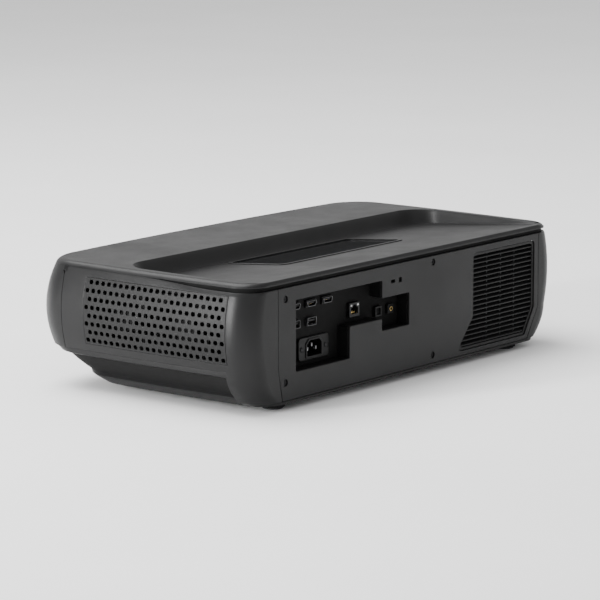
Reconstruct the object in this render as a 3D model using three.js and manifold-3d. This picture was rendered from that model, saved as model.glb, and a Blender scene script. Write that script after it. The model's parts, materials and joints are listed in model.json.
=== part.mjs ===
// Home projector of the ultra-short-throw kind, as an assembly of separate pieces.
// Millimetres, +Z up. The projector stands on its four feet on the plane z = 0, centred on the
// origin. Its front faces -Y; the connectors and the screen are on the +Y side.
import * as THREE from "three";
import { mergeVertices } from "three/addons/utils/BufferGeometryUtils.js";
import Module from "manifold-3d";

const wasm = await Module();
wasm.setup();

// ---- Driving dimensions -------------------------------------------------------------------

const WIDTH = 560; // across the two ends, at the widest height
const DEPTH = 304; // front to rear, at the widest height
const HEIGHT = 138; // the ground to the top face
const GROUND_GAP = 8; // the ground to the underside of the base
const WALL = 2.6; // moulded shell walls
const GAP = 0.3; // between neighbouring pieces

const HALF_WIDTH = WIDTH / 2;
const REAR_Y = DEPTH / 2;
const FRONT_Y = -DEPTH / 2;

// Shell profile: the ends and the front bulge, the rear is upright.
const WIDEST_Z = 86;
const BULGE = 10; // how far the top edge lies inside the widest outline
const TOP_EDGE_RADIUS = 5;
const END_BOW = 4; // how far the ends bow outward in plan
const FRONT_BOW = 8;
const FRONT_RADIUS = 40; // vertical corners, in plan
const REAR_RADIUS = 26;
const LEDGE_Z = 46; // the lower edge of the upper shell
const LEDGE_STEP = 1.2; // the upper shell stands this far proud of the base
const BASE_TAPER = 24; // the ends of the base lean in by this much
const GRIP_DEPTH = 7; // the groove under the ledge
const UNDERCUT = 50; // the front of the base lies this far behind the front of the shell

// Seams between the shell pieces.
const SEAM_Z = 133; // under the top cover
const FRONT_SEAM_Y = -100; // between the front fascia and the end covers
const REAR_SEAM = { right: 226, left: -240 }; // between the rear panel and the end covers
const REAR_FOOT_X = 219; // half the rear panel's width at its lower edge
const POST_INNER_X = 190; // the corner posts lie outside this plane
const POST_Y = 120; // the end covers reach down to the base behind this plane

// The sunken deck in the top, which lets the beam leave.
const DECK = {
  halfWidth: 257,
  front: -35,
  rear: 144,
  radius: 34,
  rearRadius: 10,
  depth: 17,
  rearDepth: 2,
  wallRun: 8,
};
const WINDOW = { halfWidth: 104, front: -14, rear: 60, thickness: 3 };

// Openings in the rear panel: x, y, z faces of the connector bay, and the exhaust vent.
const BAY = { left: 197, right: 3, step: 51, low: 73, high: 114, stepLow: 60, stepHigh: 95, back: 135 };
const INLET_BAY = { right: 107, low: 39 }; // the deeper part that holds the mains inlet
const VENT = { left: -113, right: -232, low: 16, high: 122, flare: 30, flareTop: 52, lean: 18, chamfer: 8 };
const VENT_BARS = { pitch: 9, slot: 5, border: 6, margin: 7, mullion: 4, setBack: 1.2, depth: 3.4 };

// Perforated panels in the ends, and the loudspeaker grille in the front.
const END_GRILLE = { front: -68, rear: 124, low: 54, high: 125, rows: 8, columns: 2, slotShare: 0.55 };
const FRONT_GRILLE = { halfWidth: 200, low: 60, high: 112, rows: 5, columns: 4, slotShare: 0.5 };
const GRILLE_RIB = 4; // upright ribs of the grilles
const GRILLE_BORDER = 6;
const INFRARED_SLOT = { x: [-14, 14], z: [119, 125] };
const LIGHT_SLOT = { x: [-9, 9], z: [50, 53] };
const BUTTON = { y: -80, z: 86, radius: 6, travel: 1.2 };

// Optical axis of the lens, along Y.
const LENS = { x: 0, z: 76 };
const GEAR_MODULE = 1.25;
const RING_TEETH = 48;
const PINION_TEETH = 12;

// ---- Materials ----------------------------------------------------------------------------

function material(color, roughness, metalness = 0, extra = {}) {
  return new THREE.MeshStandardMaterial({ color, roughness, metalness, ...extra });
}

const shellPlastic = material(0x3f3f40, 0.6);
const deckPlastic = material(0x333334, 0.5);
const grillePlastic = material(0x2c2c2d, 0.6);
const bayPlastic = material(0x18181a, 0.55);
const windowGlass = material(0x14161a, 0.08, 0, { transparent: true, opacity: 0.45 });
const lensGlass = material(0xbcd0d8, 0.05, 0, { transparent: true, opacity: 0.4 });
const rubber = material(0x151515, 0.9);
const steel = material(0xa9abad, 0.35, 0.9);
const castAluminium = material(0x8d8f92, 0.5, 0.8);
const circuitBoard = material(0x1d4a33, 0.6);
const blackPlastic = material(0x1b1b1c, 0.5);
const mirrorCoat = material(0xdfe3e6, 0.05, 1);
const phosphor = material(0xd9c33a, 0.5);
const coatedGlass = material(0x6d8fb8, 0.1);
const indicator = material(0xe8eef2, 0.3);

// ---- Solids -------------------------------------------------------------------------------

const AXIS_BASES = {
  x: [new THREE.Vector3(0, 1, 0), new THREE.Vector3(0, 0, 1), new THREE.Vector3(1, 0, 0)],
  y: [new THREE.Vector3(0, 0, 1), new THREE.Vector3(1, 0, 0), new THREE.Vector3(0, 1, 0)],
  z: [new THREE.Vector3(1, 0, 0), new THREE.Vector3(0, 1, 0), new THREE.Vector3(0, 0, 1)],
};

// A closed three.js geometry as a solid that can be cut and joined.
function solidOf(geometry) {
  const bare = new THREE.BufferGeometry();
  bare.setAttribute("position", geometry.getAttribute("position"));
  bare.setIndex(geometry.index);
  const merged = mergeVertices(bare, 1e-4);
  return new wasm.Manifold(
    new wasm.Mesh({
      numProp: 3,
      vertProperties: merged.attributes.position.array,
      triVerts: new Uint32Array(merged.index.array),
    }),
  );
}

function geometryOf(solid) {
  const mesh = solid.getMesh();
  const geometry = new THREE.BufferGeometry();
  geometry.setAttribute("position", new THREE.BufferAttribute(mesh.vertProperties, 3));
  geometry.setIndex(new THREE.BufferAttribute(mesh.triVerts, 1));
  geometry.computeVertexNormals();
  return geometry;
}

function join(...solids) {
  return solids.reduce((whole, piece) => whole.add(piece));
}

function cut(solid, ...tools) {
  return tools.reduce((left, tool) => left.subtract(tool), solid);
}

// A block between two values on each axis.
function block(x, y, z) {
  const geometry = new THREE.BoxGeometry(
    Math.abs(x[1] - x[0]),
    Math.abs(y[1] - y[0]),
    Math.abs(z[1] - z[0]),
  );
  geometry.translate((x[0] + x[1]) / 2, (y[0] + y[1]) / 2, (z[0] + z[1]) / 2);
  return solidOf(geometry);
}

// An outline drawn across an axis and carried along it. The outline's points are (y, z) for
// axis x, (x, z) for axis y and (x, y) for axis z.
function prism(axis, points, from, to) {
  const flip = axis === "y";
  const outline = points.map(([u, v]) => (flip ? new THREE.Vector2(v, u) : new THREE.Vector2(u, v)));
  const geometry = new THREE.ExtrudeGeometry(new THREE.Shape(outline), {
    depth: to - from,
    bevelEnabled: false,
    steps: 1,
  });
  geometry.translate(0, 0, from);
  geometry.applyMatrix4(new THREE.Matrix4().makeBasis(...AXIS_BASES[axis]));
  return solidOf(geometry);
}

function circle(u, v, radius, sides) {
  return Array.from({ length: sides }, (_, i) => {
    const angle = (2 * Math.PI * (i + 0.5)) / sides;
    return [u + radius * Math.cos(angle), v + radius * Math.sin(angle)];
  });
}

// A round bar along an axis, centred on (u, v) in the outline's sense of prism().
function bar(axis, centre, radius, from, to, sides = 24) {
  return prism(axis, circle(centre[0], centre[1], radius, sides), from, to);
}

function roundedRectangle(u, v, width, height, radius, steps = 4) {
  const points = [];
  const corners = [[1, 1], [-1, 1], [-1, -1], [1, -1]];
  corners.forEach(([su, sv], corner) => {
    for (let i = 0; i <= steps; i++) {
      const angle = (Math.PI / 2) * (corner + i / steps);
      points.push([
        u + su * (width / 2 - radius) + radius * Math.cos(angle),
        v + sv * (height / 2 - radius) + radius * Math.sin(angle),
      ]);
    }
  });
  return points;
}

// A solid skinned over closed rings that all have the same number of points.
function loft(rings) {
  const count = rings[0].length;
  const positions = rings.flat(2);
  const index = [];
  for (let ring = 0; ring + 1 < rings.length; ring++) {
    for (let i = 0; i < count; i++) {
      const a = ring * count + i;
      const b = ring * count + ((i + 1) % count);
      index.push(a, b, b + count, a, b + count, a + count);
    }
  }
  const last = (rings.length - 1) * count;
  for (let i = 1; i + 1 < count; i++) {
    index.push(0, i + 1, i);
    index.push(last, last + i, last + i + 1);
  }
  const geometry = new THREE.BufferGeometry();
  geometry.setAttribute("position", new THREE.Float32BufferAttribute(positions, 3));
  geometry.setIndex(index);
  return solidOf(geometry);
}

// ---- The outer shape of the shell ---------------------------------------------------------

// One level of the shell: how far the ends and the front lie inside the widest outline.
function upperLevel(z) {
  const rise = (z - WIDEST_Z) / (HEIGHT - WIDEST_Z);
  const edge = Math.max(0, z - (HEIGHT - TOP_EDGE_RADIUS));
  const rounding = TOP_EDGE_RADIUS - Math.sqrt(TOP_EDGE_RADIUS ** 2 - edge ** 2);
  const inset = BULGE * rise * rise + rounding;
  return { z, end: inset, front: inset, rear: rounding * 0.4 };
}

function lowerLevel(z, groove, step = LEDGE_STEP) {
  const drop = (LEDGE_Z - z) / (LEDGE_Z - GROUND_GAP);
  const ledge = upperLevel(LEDGE_Z).end + step;
  return { z, end: ledge + BASE_TAPER * drop * drop + groove, front: ledge + UNDERCUT * drop, rear: 0 };
}

const UPPER_LEVELS = [LEDGE_Z, 64, WIDEST_Z, 108, 122, SEAM_Z, 135.5, 137.2, HEIGHT].map(upperLevel);
const LOWER_LEVELS = [
  lowerLevel(GROUND_GAP, 0),
  lowerLevel(17, 0),
  lowerLevel(21, GRIP_DEPTH),
  lowerLevel(38, GRIP_DEPTH),
  lowerLevel(41, 0),
  lowerLevel(LEDGE_Z, 0),
];
const POST_LEVELS = [GROUND_GAP, 20, 33, LEDGE_Z].map((z) => lowerLevel(z, 0, 0));

// The plan outline at one level, pulled in by a wall's thickness.
function ringAt(level, inward) {
  const half = HALF_WIDTH - level.end - inward;
  const front = FRONT_Y + level.front + inward;
  const rear = REAR_Y - level.rear - inward;
  const corners = [
    { x: half, y: rear, radius: REAR_RADIUS - inward, start: 0 },
    { x: -half, y: rear, radius: REAR_RADIUS - inward, start: 1 },
    { x: -half, y: front, radius: FRONT_RADIUS - inward, start: 2 },
    { x: half, y: front, radius: FRONT_RADIUS - inward, start: 3 },
  ];
  const cornerSteps = 4;
  const points = [];
  corners.forEach((corner, c) => {
    for (let i = 0; i <= cornerSteps; i++) {
      const angle = (Math.PI / 2) * (corner.start + i / cornerSteps);
      points.push([
        corner.x - Math.sign(corner.x) * corner.radius + corner.radius * Math.cos(angle),
        corner.y - (c < 2 ? 1 : -1) * corner.radius + corner.radius * Math.sin(angle),
      ]);
    }
    const next = corners[(c + 1) % 4];
    points.push(...sidePoints(corner, next, c));
  });
  const middle = (front + rear) / 2;
  return points.map(([x, y]) => bowed(x, y, level.z, half, middle, rear));
}

// Points along a straight side, between the ends of its two corner arcs.
function sidePoints(corner, next, side) {
  const along = side % 2 === 0 ? "x" : "y";
  const steps = [1, 4, 6, 4][side];
  const from = corner[along] - Math.sign(corner[along] - next[along]) * corner.radius;
  const to = next[along] + Math.sign(corner[along] - next[along]) * next.radius;
  const points = [];
  for (let i = 1; i < steps; i++) {
    const value = from + ((to - from) * i) / steps;
    points.push(along === "x" ? [value, corner.y] : [corner.x, value]);
  }
  return points;
}

// Bows the ends and the front of a plan outline outward at their middles.
function bowed(x, y, z, half, middle, rear) {
  const across = (y - middle) / (rear - middle);
  const along = x / half;
  const bowedX = x - Math.sign(x) * END_BOW * across * across * Math.min(1, Math.abs(along));
  const bowedY = y + FRONT_BOW * along * along * Math.max(0, -across);
  return [bowedX, bowedY, z];
}

function shellOf(levels) {
  const outer = loft(levels.map((level) => ringAt(level, 0)));
  const first = levels[0];
  const last = levels[levels.length - 1];
  const inner = [{ ...first, z: first.z - 1 }, ...levels, { ...last, z: last.z + 1 }];
  return cut(outer, loft(inner.map((level) => ringAt(level, WALL))));
}

const FAR = 400; // beyond every face of the shell
const upperWall = shellOf(UPPER_LEVELS.filter((level) => level.z <= SEAM_Z));
const upperSolid = loft(UPPER_LEVELS.map((level) => ringAt(level, 0)));
const lowerSolid = loft(LOWER_LEVELS.map((level) => ringAt(level, 0)));
const lowerHollow = loft(
  [...LOWER_LEVELS, { ...LOWER_LEVELS.at(-1), z: LEDGE_Z + 1 }].map((level) => ringAt(level, WALL)),
);

// ---- Assembly -----------------------------------------------------------------------------

const projector = new THREE.Group();

function addPart(name, solid, look) {
  const mesh = new THREE.Mesh(geometryOf(solid), look);
  mesh.name = name;
  projector.add(mesh);
}

// ---- Shell pieces -------------------------------------------------------------------------

// The connector bay's outline on the rear panel, grown outward by a margin.
function bayOutline(grow) {
  return [
    [BAY.right - grow, BAY.stepLow - grow],
    [BAY.step + grow, BAY.stepLow - grow],
    [BAY.step + grow, BAY.low - grow],
    [INLET_BAY.right - grow, BAY.low - grow],
    [INLET_BAY.right - grow, INLET_BAY.low - grow],
    [BAY.left + grow, INLET_BAY.low - grow],
    [BAY.left + grow, BAY.high + grow],
    [BAY.step - grow, BAY.high + grow],
    [BAY.step - grow, BAY.stepHigh + grow],
    [BAY.right - grow, BAY.stepHigh + grow],
  ];
}

// The exhaust vent's outline, with its lower near edge flared, shrunk by a margin.
function ventOutline(shrink) {
  return [
    [VENT.right + shrink, LEDGE_Z],
    [VENT.right + VENT.lean + shrink, VENT.low + shrink],
    [VENT.left + VENT.flare - shrink * 2, VENT.low + shrink],
    [VENT.left - shrink, VENT.flareTop],
    [VENT.left - shrink, VENT.high - VENT.chamfer],
    [VENT.left - VENT.chamfer, VENT.high - shrink],
    [VENT.right + shrink, VENT.high - shrink],
  ];
}

// The rear panel's own outline: upright above the ledge, leaning in with the base below it.
function rearPanelOutline(grow) {
  const { left, right } = REAR_SEAM;
  const low = GROUND_GAP + WALL + GAP - grow;
  const high = SEAM_Z - GAP / 2 + grow;
  return [
    [-REAR_FOOT_X - grow, low],
    [REAR_FOOT_X + grow, low],
    [right + grow, LEDGE_Z],
    [right + grow, high],
    [left - grow, high],
    [left - grow, LEDGE_Z],
  ];
}

function addRearPanel() {
  const plate = prism("y", rearPanelOutline(-GAP / 2), REAR_Y - WALL, REAR_Y);
  const panel = cut(
    plate,
    prism("y", bayOutline(0), REAR_Y - WALL - 1, REAR_Y + 1),
    prism("y", ventOutline(0), REAR_Y - WALL - 1, REAR_Y + 1),
  );
  addPart("rear_panel", panel, shellPlastic);
}

// A frame with a stack of slots on either side of an upright bar.
function addRearVentGrille() {
  const { pitch, slot, border, margin, mullion, setBack, depth } = VENT_BARS;
  const front = REAR_Y - setBack;
  const back = front - depth;
  const middle = (VENT.right + VENT.left) / 2;
  const slots = [];
  for (let z = VENT.low + margin; z < VENT.high - VENT.chamfer; z += pitch) {
    const left = z < VENT.flareTop ? VENT.left + 2 : VENT.left - border;
    const right = z < LEDGE_Z ? VENT.right + VENT.lean + 4 : VENT.right + border;
    slots.push(block([right, middle - mullion / 2], [back - 1, front + 1], [z, z + slot]));
    slots.push(block([middle + mullion / 2, left], [back - 1, front + 1], [z, z + slot]));
  }
  addPart("rear_vent_grille", cut(prism("y", ventOutline(GAP), back, front), ...slots), grillePlastic);
}

function addEndCover(name, side) {
  const inner = (side > 0 ? REAR_SEAM.right : REAR_SEAM.left) + (GAP / 2) * side;
  const above = block([inner, FAR * side], [FRONT_SEAM_Y + GAP / 2, FAR], [LEDGE_Z, SEAM_Z - GAP / 2]);
  const postRegion = cut(
    block([POST_INNER_X * side, FAR * side], [POST_Y, FAR], [GROUND_GAP + WALL + GAP, LEDGE_Z + 0.01]),
    prism("y", rearPanelOutline(GAP / 2), POST_Y - 1, FAR),
  );
  const post = shellOf(POST_LEVELS).intersect(postRegion);
  let cover = join(upperWall.intersect(above), post);
  const opening = endGrilleRange(side);
  cover = cut(cover, block([0, FAR * side], opening.y, opening.z));
  if (side < 0) cover = cut(cover, bar("x", [BUTTON.y, BUTTON.z], BUTTON.radius + GAP, -FAR, 0));
  addPart(name, cover, shellPlastic);
}

// The end grille's opening; it is shorter at the end that carries the power button.
function endGrilleRange(side) {
  const front = side < 0 ? BUTTON.y + 20 : END_GRILLE.front;
  return { y: [front, END_GRILLE.rear], z: [END_GRILLE.low, END_GRILLE.high] };
}

function addEndGrille(name, side) {
  const { y, z } = endGrilleRange(side);
  const wall = block([0, FAR * side], [y[0] + GAP, y[1] - GAP], [z[0] + GAP, z[1] - GAP]);
  const slots = slotRanges(y, z, END_GRILLE).map((slot) => block([0, FAR * side], slot.along, slot.z));
  addPart(name, cut(upperWall.intersect(wall), ...slots), grillePlastic);
}

// Where a grille's long slots lie, in rows and columns inside a border.
function slotRanges(along, z, { rows, columns, slotShare }) {
  const pitch = (z[1] - z[0]) / (rows + 0.5);
  const step = (along[1] - along[0] - 2 * GRILLE_RIB) / columns;
  const ranges = [];
  for (let row = 0; row < rows; row++) {
    const low = z[0] + pitch * (row + 0.5);
    for (let column = 0; column < columns; column++) {
      const start = along[0] + GRILLE_BORDER + step * column;
      ranges.push({ along: [start, start + step - GRILLE_RIB], z: [low, low + pitch * slotShare] });
    }
  }
  return ranges;
}

function addFrontFascia() {
  const region = block([-FAR, FAR], [-FAR, FRONT_SEAM_Y - GAP / 2], [LEDGE_Z, SEAM_Z - GAP / 2]);
  const opening = block(
    [-FRONT_GRILLE.halfWidth, FRONT_GRILLE.halfWidth],
    [-FAR, FRONT_SEAM_Y],
    [FRONT_GRILLE.low, FRONT_GRILLE.high],
  );
  const window = block(INFRARED_SLOT.x, [-FAR, FRONT_SEAM_Y], INFRARED_SLOT.z);
  const light = block(LIGHT_SLOT.x, [-FAR, FRONT_SEAM_Y], LIGHT_SLOT.z);
  addPart("front_fascia", cut(upperWall.intersect(region), opening, window, light), shellPlastic);
  addFasciaInsert("infrared_window", INFRARED_SLOT, windowGlass);
  addFasciaInsert("status_light", LIGHT_SLOT, indicator);
}

// A small piece that fills a slot in the fascia and follows its curve.
function addFasciaInsert(name, slot, look) {
  const x = [slot.x[0] + GAP, slot.x[1] - GAP];
  const z = [slot.z[0] + GAP, slot.z[1] - GAP];
  addPart(name, upperWall.intersect(block(x, [-FAR, FRONT_SEAM_Y], z)), look);
}

function addFrontGrille() {
  const { halfWidth, low, high } = FRONT_GRILLE;
  const region = block([-halfWidth + GAP, halfWidth - GAP], [-FAR, FRONT_SEAM_Y], [low + GAP, high - GAP]);
  const slots = slotRanges([-halfWidth, halfWidth], [low, high], FRONT_GRILLE).map((slot) =>
    block(slot.along, [-FAR, FRONT_SEAM_Y], slot.z),
  );
  addPart("front_grille", cut(upperWall.intersect(region), ...slots), grillePlastic);
}

function addBaseTray() {
  const floorTop = GROUND_GAP + WALL;
  const room = lowerHollow.intersect(block([-FAR, FAR], [-FAR, FAR], [floorTop, FAR]));
  const rearOpening = prism("y", rearPanelOutline(GAP / 2), REAR_Y - WALL - GAP, FAR);
  const posts = [-1, 1].map((side) =>
    block([POST_INNER_X * side, FAR * side], [POST_Y - GAP, FAR], [floorTop, FAR]),
  );
  const rimTop = block([-FAR, FAR], [-FAR, FAR], [LEDGE_Z - GAP, FAR]);
  let tray = cut(lowerSolid, room, rearOpening, ...posts, rimTop);
  FOOT_CENTRES.forEach(([x, y]) => {
    tray = join(tray, bar("z", [x, y], FOOT.stud + FOOT.bossWall, floorTop - 0.5, FOOT.bossTop, 20));
    tray = cut(tray, bar("z", [x, y], FOOT.stud + GAP, 0, FOOT.bossTop - WALL, 20));
  });
  addPart("base_tray", tray, shellPlastic);
}

// ---- Top cover, deck and window -----------------------------------------------------------

function deckOutline(shrink) {
  const { halfWidth, front, rear, radius, rearRadius } = DECK;
  const width = 2 * (halfWidth - shrink);
  const height = rear - front - 2 * shrink;
  const frontCorner = radius - shrink;
  const rearCorner = rearRadius - shrink;
  return roundedRectangle(0, (front + rear) / 2, width, height, frontCorner).map(([x, y]) => {
    if (y < (front + rear) / 2) return [x, y];
    return squareUp(x, y, width / 2, rear - shrink, frontCorner, rearCorner);
  });
}

// Moves a point of a round corner onto the arc of a smaller radius in the same corner.
function squareUp(x, y, halfWidth, rear, from, to) {
  const side = Math.sign(x);
  const dx = (Math.abs(x) - (halfWidth - from)) / from;
  const dy = (y - (rear - from)) / from;
  return [side * (halfWidth - to + dx * to), rear - to + dy * to];
}

// Height of the deck's surface at a distance from front to rear, lowered by an amount.
function deckLine(y, lower) {
  const { front, rear, depth, rearDepth, wallRun } = DECK;
  const wallFoot = front + wallRun;
  const share = (y - wallFoot) / (rear - wallFoot);
  return HEIGHT - depth + (depth - rearDepth) * share - lower;
}

function deckAir(lower, growFront) {
  const { front, rear, wallRun } = DECK;
  return [
    [front - growFront, HEIGHT + 5],
    [front + wallRun - growFront, deckLine(front + wallRun, lower)],
    [rear + 5, deckLine(rear + 5, lower)],
    [rear + 5, HEIGHT + 5],
  ];
}

function addTopCover() {
  const slab = upperSolid.intersect(block([-FAR, FAR], [-FAR, FAR], [SEAM_Z + GAP / 2, FAR]));
  const seam = upperLevel(SEAM_Z);
  const hollow = loft([SEAM_Z - 1, HEIGHT - WALL].map((z) => ringAt({ ...seam, z }, WALL + 1)));
  const opening = prism("z", deckOutline(0), SEAM_Z - 10, FAR);
  addPart("top_cover", cut(slab, hollow, opening), shellPlastic);
}

function addTopDeck() {
  const plan = prism("z", deckOutline(GAP), HEIGHT - 30, HEIGHT - 0.4);
  const innerPlan = prism("z", deckOutline(GAP + WALL), HEIGHT - 30, HEIGHT + 5);
  const below = prism("x", deckAir(WALL, WALL + 1), -FAR, FAR);
  const above = prism("x", deckAir(0, -0.3), -FAR, FAR);
  const deck = cut(plan.intersect(below), innerPlan.intersect(above));
  addPart("top_deck", cut(deck, windowSolid(0, 20, 20)), deckPlastic);
}

// The window's volume, shrunk in plan, reaching up and down from the deck's surface.
function windowSolid(shrink, up, down) {
  const { halfWidth, front, rear } = WINDOW;
  const y0 = front + shrink;
  const y1 = rear - shrink;
  const side = [
    [y0, deckLine(y0, down)],
    [y1, deckLine(y1, down)],
    [y1, deckLine(y1, -up)],
    [y0, deckLine(y0, -up)],
  ];
  return prism("x", side, -halfWidth + shrink, halfWidth - shrink);
}

function addProjectionWindow() {
  addPart("projection_window", windowSolid(GAP, -0.4, 0.4 + WINDOW.thickness), windowGlass);
}

// ---- Feet ---------------------------------------------------------------------------------

const FOOT = {
  stud: 4, // radius
  socket: 3, // how far the stud reaches down into the pad
  pad: 13, // radius
  padHeight: 7.4,
  knurl: 0.95,
  rubber: 2,
  bossWall: 4,
  bossTop: 26,
  studTop: 20,
};
const FOOT_CENTRES = [[207, 129], [-207, 129], [195, -68], [-195, -68]];
const FOOT_NAMES = ["rear_right", "rear_left", "front_right", "front_left"];

function addFeet() {
  FOOT_CENTRES.forEach(([x, y], i) => {
    const socketFloor = FOOT.padHeight - FOOT.socket;
    const stud = bar("z", [x, y], FOOT.stud, socketFloor, FOOT.studTop, 16);
    const padOutline = circle(x, y, FOOT.pad, 20).map(([px, py], tooth) => {
      const knurl = tooth % 2 === 0 ? 1 : FOOT.knurl;
      return [x + (px - x) * knurl, y + (py - y) * knurl];
    });
    const knob = prism("z", padOutline, FOOT.rubber, FOOT.padHeight);
    const sole = bar("z", [x, y], FOOT.pad - 2, 0, FOOT.rubber + 0.01, 16);
    const socket = bar("z", [x, y], FOOT.stud + GAP, socketFloor - GAP, FOOT.padHeight + 1, 16);
    addPart("foot_stud_" + FOOT_NAMES[i], stud, steel);
    addPart("foot_pad_" + FOOT_NAMES[i], cut(join(knob, sole), socket), rubber);
  });
}

// ---- Connectors ---------------------------------------------------------------------------

// Each connector: where it sits on the bay's back plate, its body and its mouth.
const SIGNAL_Z = 103;
const LOWER_Z = 84;
const CONNECTORS = [
  { name: "hdmi_port_1", x: 181, z: SIGNAL_Z, body: [17, 7.5], mouth: [14, 4.6], look: steel },
  { name: "hdmi_port_2", x: 154, z: SIGNAL_Z, body: [17, 7.5], mouth: [14, 4.6], look: steel },
  { name: "hdmi_port_3", x: 127, z: SIGNAL_Z, body: [17, 7.5], mouth: [14, 4.6], look: steel },
  { name: "usb_port_1", x: 181, z: LOWER_Z, body: [14.6, 8.2], mouth: [12.6, 5.4], look: steel },
  { name: "usb_port_2", x: 154, z: LOWER_Z, body: [14.6, 8.2], mouth: [12.6, 5.4], look: steel },
  { name: "network_port", x: 82, z: 86, body: [17, 15], mouth: [12, 9], look: steel },
  { name: "optical_audio_port", x: 40, z: 78, body: [11, 11], mouth: [7, 7], look: blackPlastic },
  { name: "audio_jack", x: 18, z: 78, body: [10, 10], mouth: null, look: blackPlastic },
];
const CONNECTOR_BACK = BAY.back - 12;
const CONNECTOR_FRONT = BAY.back + 4;
const SOCKET_BACK = CONNECTOR_BACK + 4;
const JACK_RADIUS = 2.2;
const AC_INLET = { x: 150, z: 56, flange: [50, 24], barrel: [29, 21], mouth: [24, 16], depth: 15 };

function addConnectors() {
  CONNECTORS.forEach(({ name, x, z, body, mouth, look }) => {
    const housing = prism("y", rectangle(x, z, body[0], body[1]), CONNECTOR_BACK, CONNECTOR_FRONT);
    const socket = mouth
      ? prism("y", rectangle(x, z, mouth[0], mouth[1]), SOCKET_BACK, FAR)
      : bar("y", [x, z], JACK_RADIUS, SOCKET_BACK, FAR, 16);
    addPart(name, cut(housing, socket), look);
  });
}

function addPowerInlet() {
  const { x, z, flange, barrel, mouth, depth } = AC_INLET;
  const front = prism("y", roundedRectangle(x, z, flange[0], flange[1], 4), BAY.back + GAP, BAY.back + 3);
  const body = prism("y", rectangle(x, z, barrel[0], barrel[1]), BAY.back - depth - 3, BAY.back + 1);
  const socket = prism("y", rectangle(x, z, mouth[0], mouth[1]), BAY.back - depth, FAR);
  addPart("power_inlet", cut(join(front, body), socket), blackPlastic);
}

function rectangle(u, v, width, height) {
  return [
    [u - width / 2, v - height / 2],
    [u + width / 2, v - height / 2],
    [u + width / 2, v + height / 2],
    [u - width / 2, v + height / 2],
  ];
}

const BAY_WALL = 2;
const CONNECTOR_PLATE = 1.5;

function addConnectorBay() {
  const outer = prism("y", bayOutline(BAY_WALL), BAY.back + GAP, REAR_Y - WALL - GAP);
  addPart("connector_bay", cut(outer, prism("y", bayOutline(0), 0, FAR)), bayPlastic);
  const holes = CONNECTORS.map(({ x, z, body }) =>
    prism("y", rectangle(x, z, body[0] + 2 * GAP, body[1] + 2 * GAP), 0, FAR),
  );
  const { x, z, barrel } = AC_INLET;
  holes.push(prism("y", rectangle(x, z, barrel[0] + 2 * GAP, barrel[1] + 2 * GAP), 0, FAR));
  const plate = prism("y", bayOutline(BAY_WALL), BAY.back - CONNECTOR_PLATE, BAY.back);
  addPart("connector_plate", cut(plate, ...holes), bayPlastic);
}

// ---- Boards and power supply --------------------------------------------------------------

const CHASSIS_Z = 17; // underside of the sheet-metal chassis
const CHASSIS_SHEET = 1.6;
const DECKING_Z = CHASSIS_Z + CHASSIS_SHEET + GAP; // where the internal units stand

const CHASSIS_HOLES = [[-150, 30], [-60, 0], [60, 0], [150, 30]];
const CHASSIS_HOLE_RADIUS = 14;

function addChassis() {
  let chassis = block([-222, 222], [-84, 108], [CHASSIS_Z, CHASSIS_Z + CHASSIS_SHEET]);
  CHASSIS_HOLES.forEach((centre) => {
    chassis = cut(chassis, bar("z", centre, CHASSIS_HOLE_RADIUS, 0, FAR, 12));
  });
  FOOT_CENTRES.forEach((centre) => {
    chassis = cut(chassis, bar("z", centre, FOOT.stud + FOOT.bossWall + 1, 0, FAR, 12));
  });
  addPart("chassis_plate", chassis, steel);
}

// The main board stands behind the connectors. Its chips: x, z and size.
const BOARD = { x: [0, 205], z: [68, 116], thickness: 1.6 };
const CHIPS = [[60, 100, 24], [110, 96, 18], [150, 84, 16], [30, 104, 14]];
const CHIP_HEIGHT = 4;

function addMainBoard() {
  const back = CONNECTOR_BACK - GAP;
  let board = block(BOARD.x, [back - BOARD.thickness, back], BOARD.z);
  CHIPS.forEach(([x, z, size]) => {
    const half = size / 2;
    const top = back - 1 - CHIP_HEIGHT;
    board = join(board, block([x - half, x + half], [top, back - 1], [z - half, z + half]));
  });
  addPart("main_board", board, circuitBoard);
}

// The power supply: a board on four pillars, with a transformer, a heat sink and capacitors.
const SUPPLY = { x: [70, 205], y: [0, 98], lift: 4, sheet: 2 };
const SUPPLY_PILLARS = [[78, 8], [197, 8], [78, 90], [197, 90]];
const TRANSFORMER = { x: [120, 155], y: [30, 62], height: 31 };
const SUPPLY_SINK = { x: [80, 84], y: [12, 90], height: 29 };
const CAPACITORS = [
  { centre: [180, 30], radius: 11, height: 33 },
  { centre: [180, 58], radius: 11, height: 33 },
  { centre: [105, 78], radius: 8, height: 21 },
];

function addPowerSupply() {
  const boardLow = DECKING_Z + SUPPLY.lift;
  const onBoard = boardLow + 1;
  let supply = block(SUPPLY.x, SUPPLY.y, [boardLow, boardLow + SUPPLY.sheet]);
  SUPPLY_PILLARS.forEach(([x, y]) => {
    supply = join(supply, block([x - 3, x + 3], [y - 3, y + 3], [DECKING_Z, onBoard]));
  });
  [TRANSFORMER, SUPPLY_SINK].forEach(({ x, y, height }) => {
    supply = join(supply, block(x, y, [onBoard, onBoard + height]));
  });
  CAPACITORS.forEach(({ centre, radius, height }) => {
    supply = join(supply, bar("z", centre, radius, onBoard, onBoard + height, 16));
  });
  addPart("power_supply", supply, circuitBoard);
}

// ---- Light engine -------------------------------------------------------------------------

// The light engine's box: open at the top, with a hole for the lens and one for the laser beam.
const ENGINE = { x: [-62, 60], y: [52, 108], high: 112, wall: 4, floor: 5, lensHole: 22, beamHole: 8 };
const BEAM_Y = 80;

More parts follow.
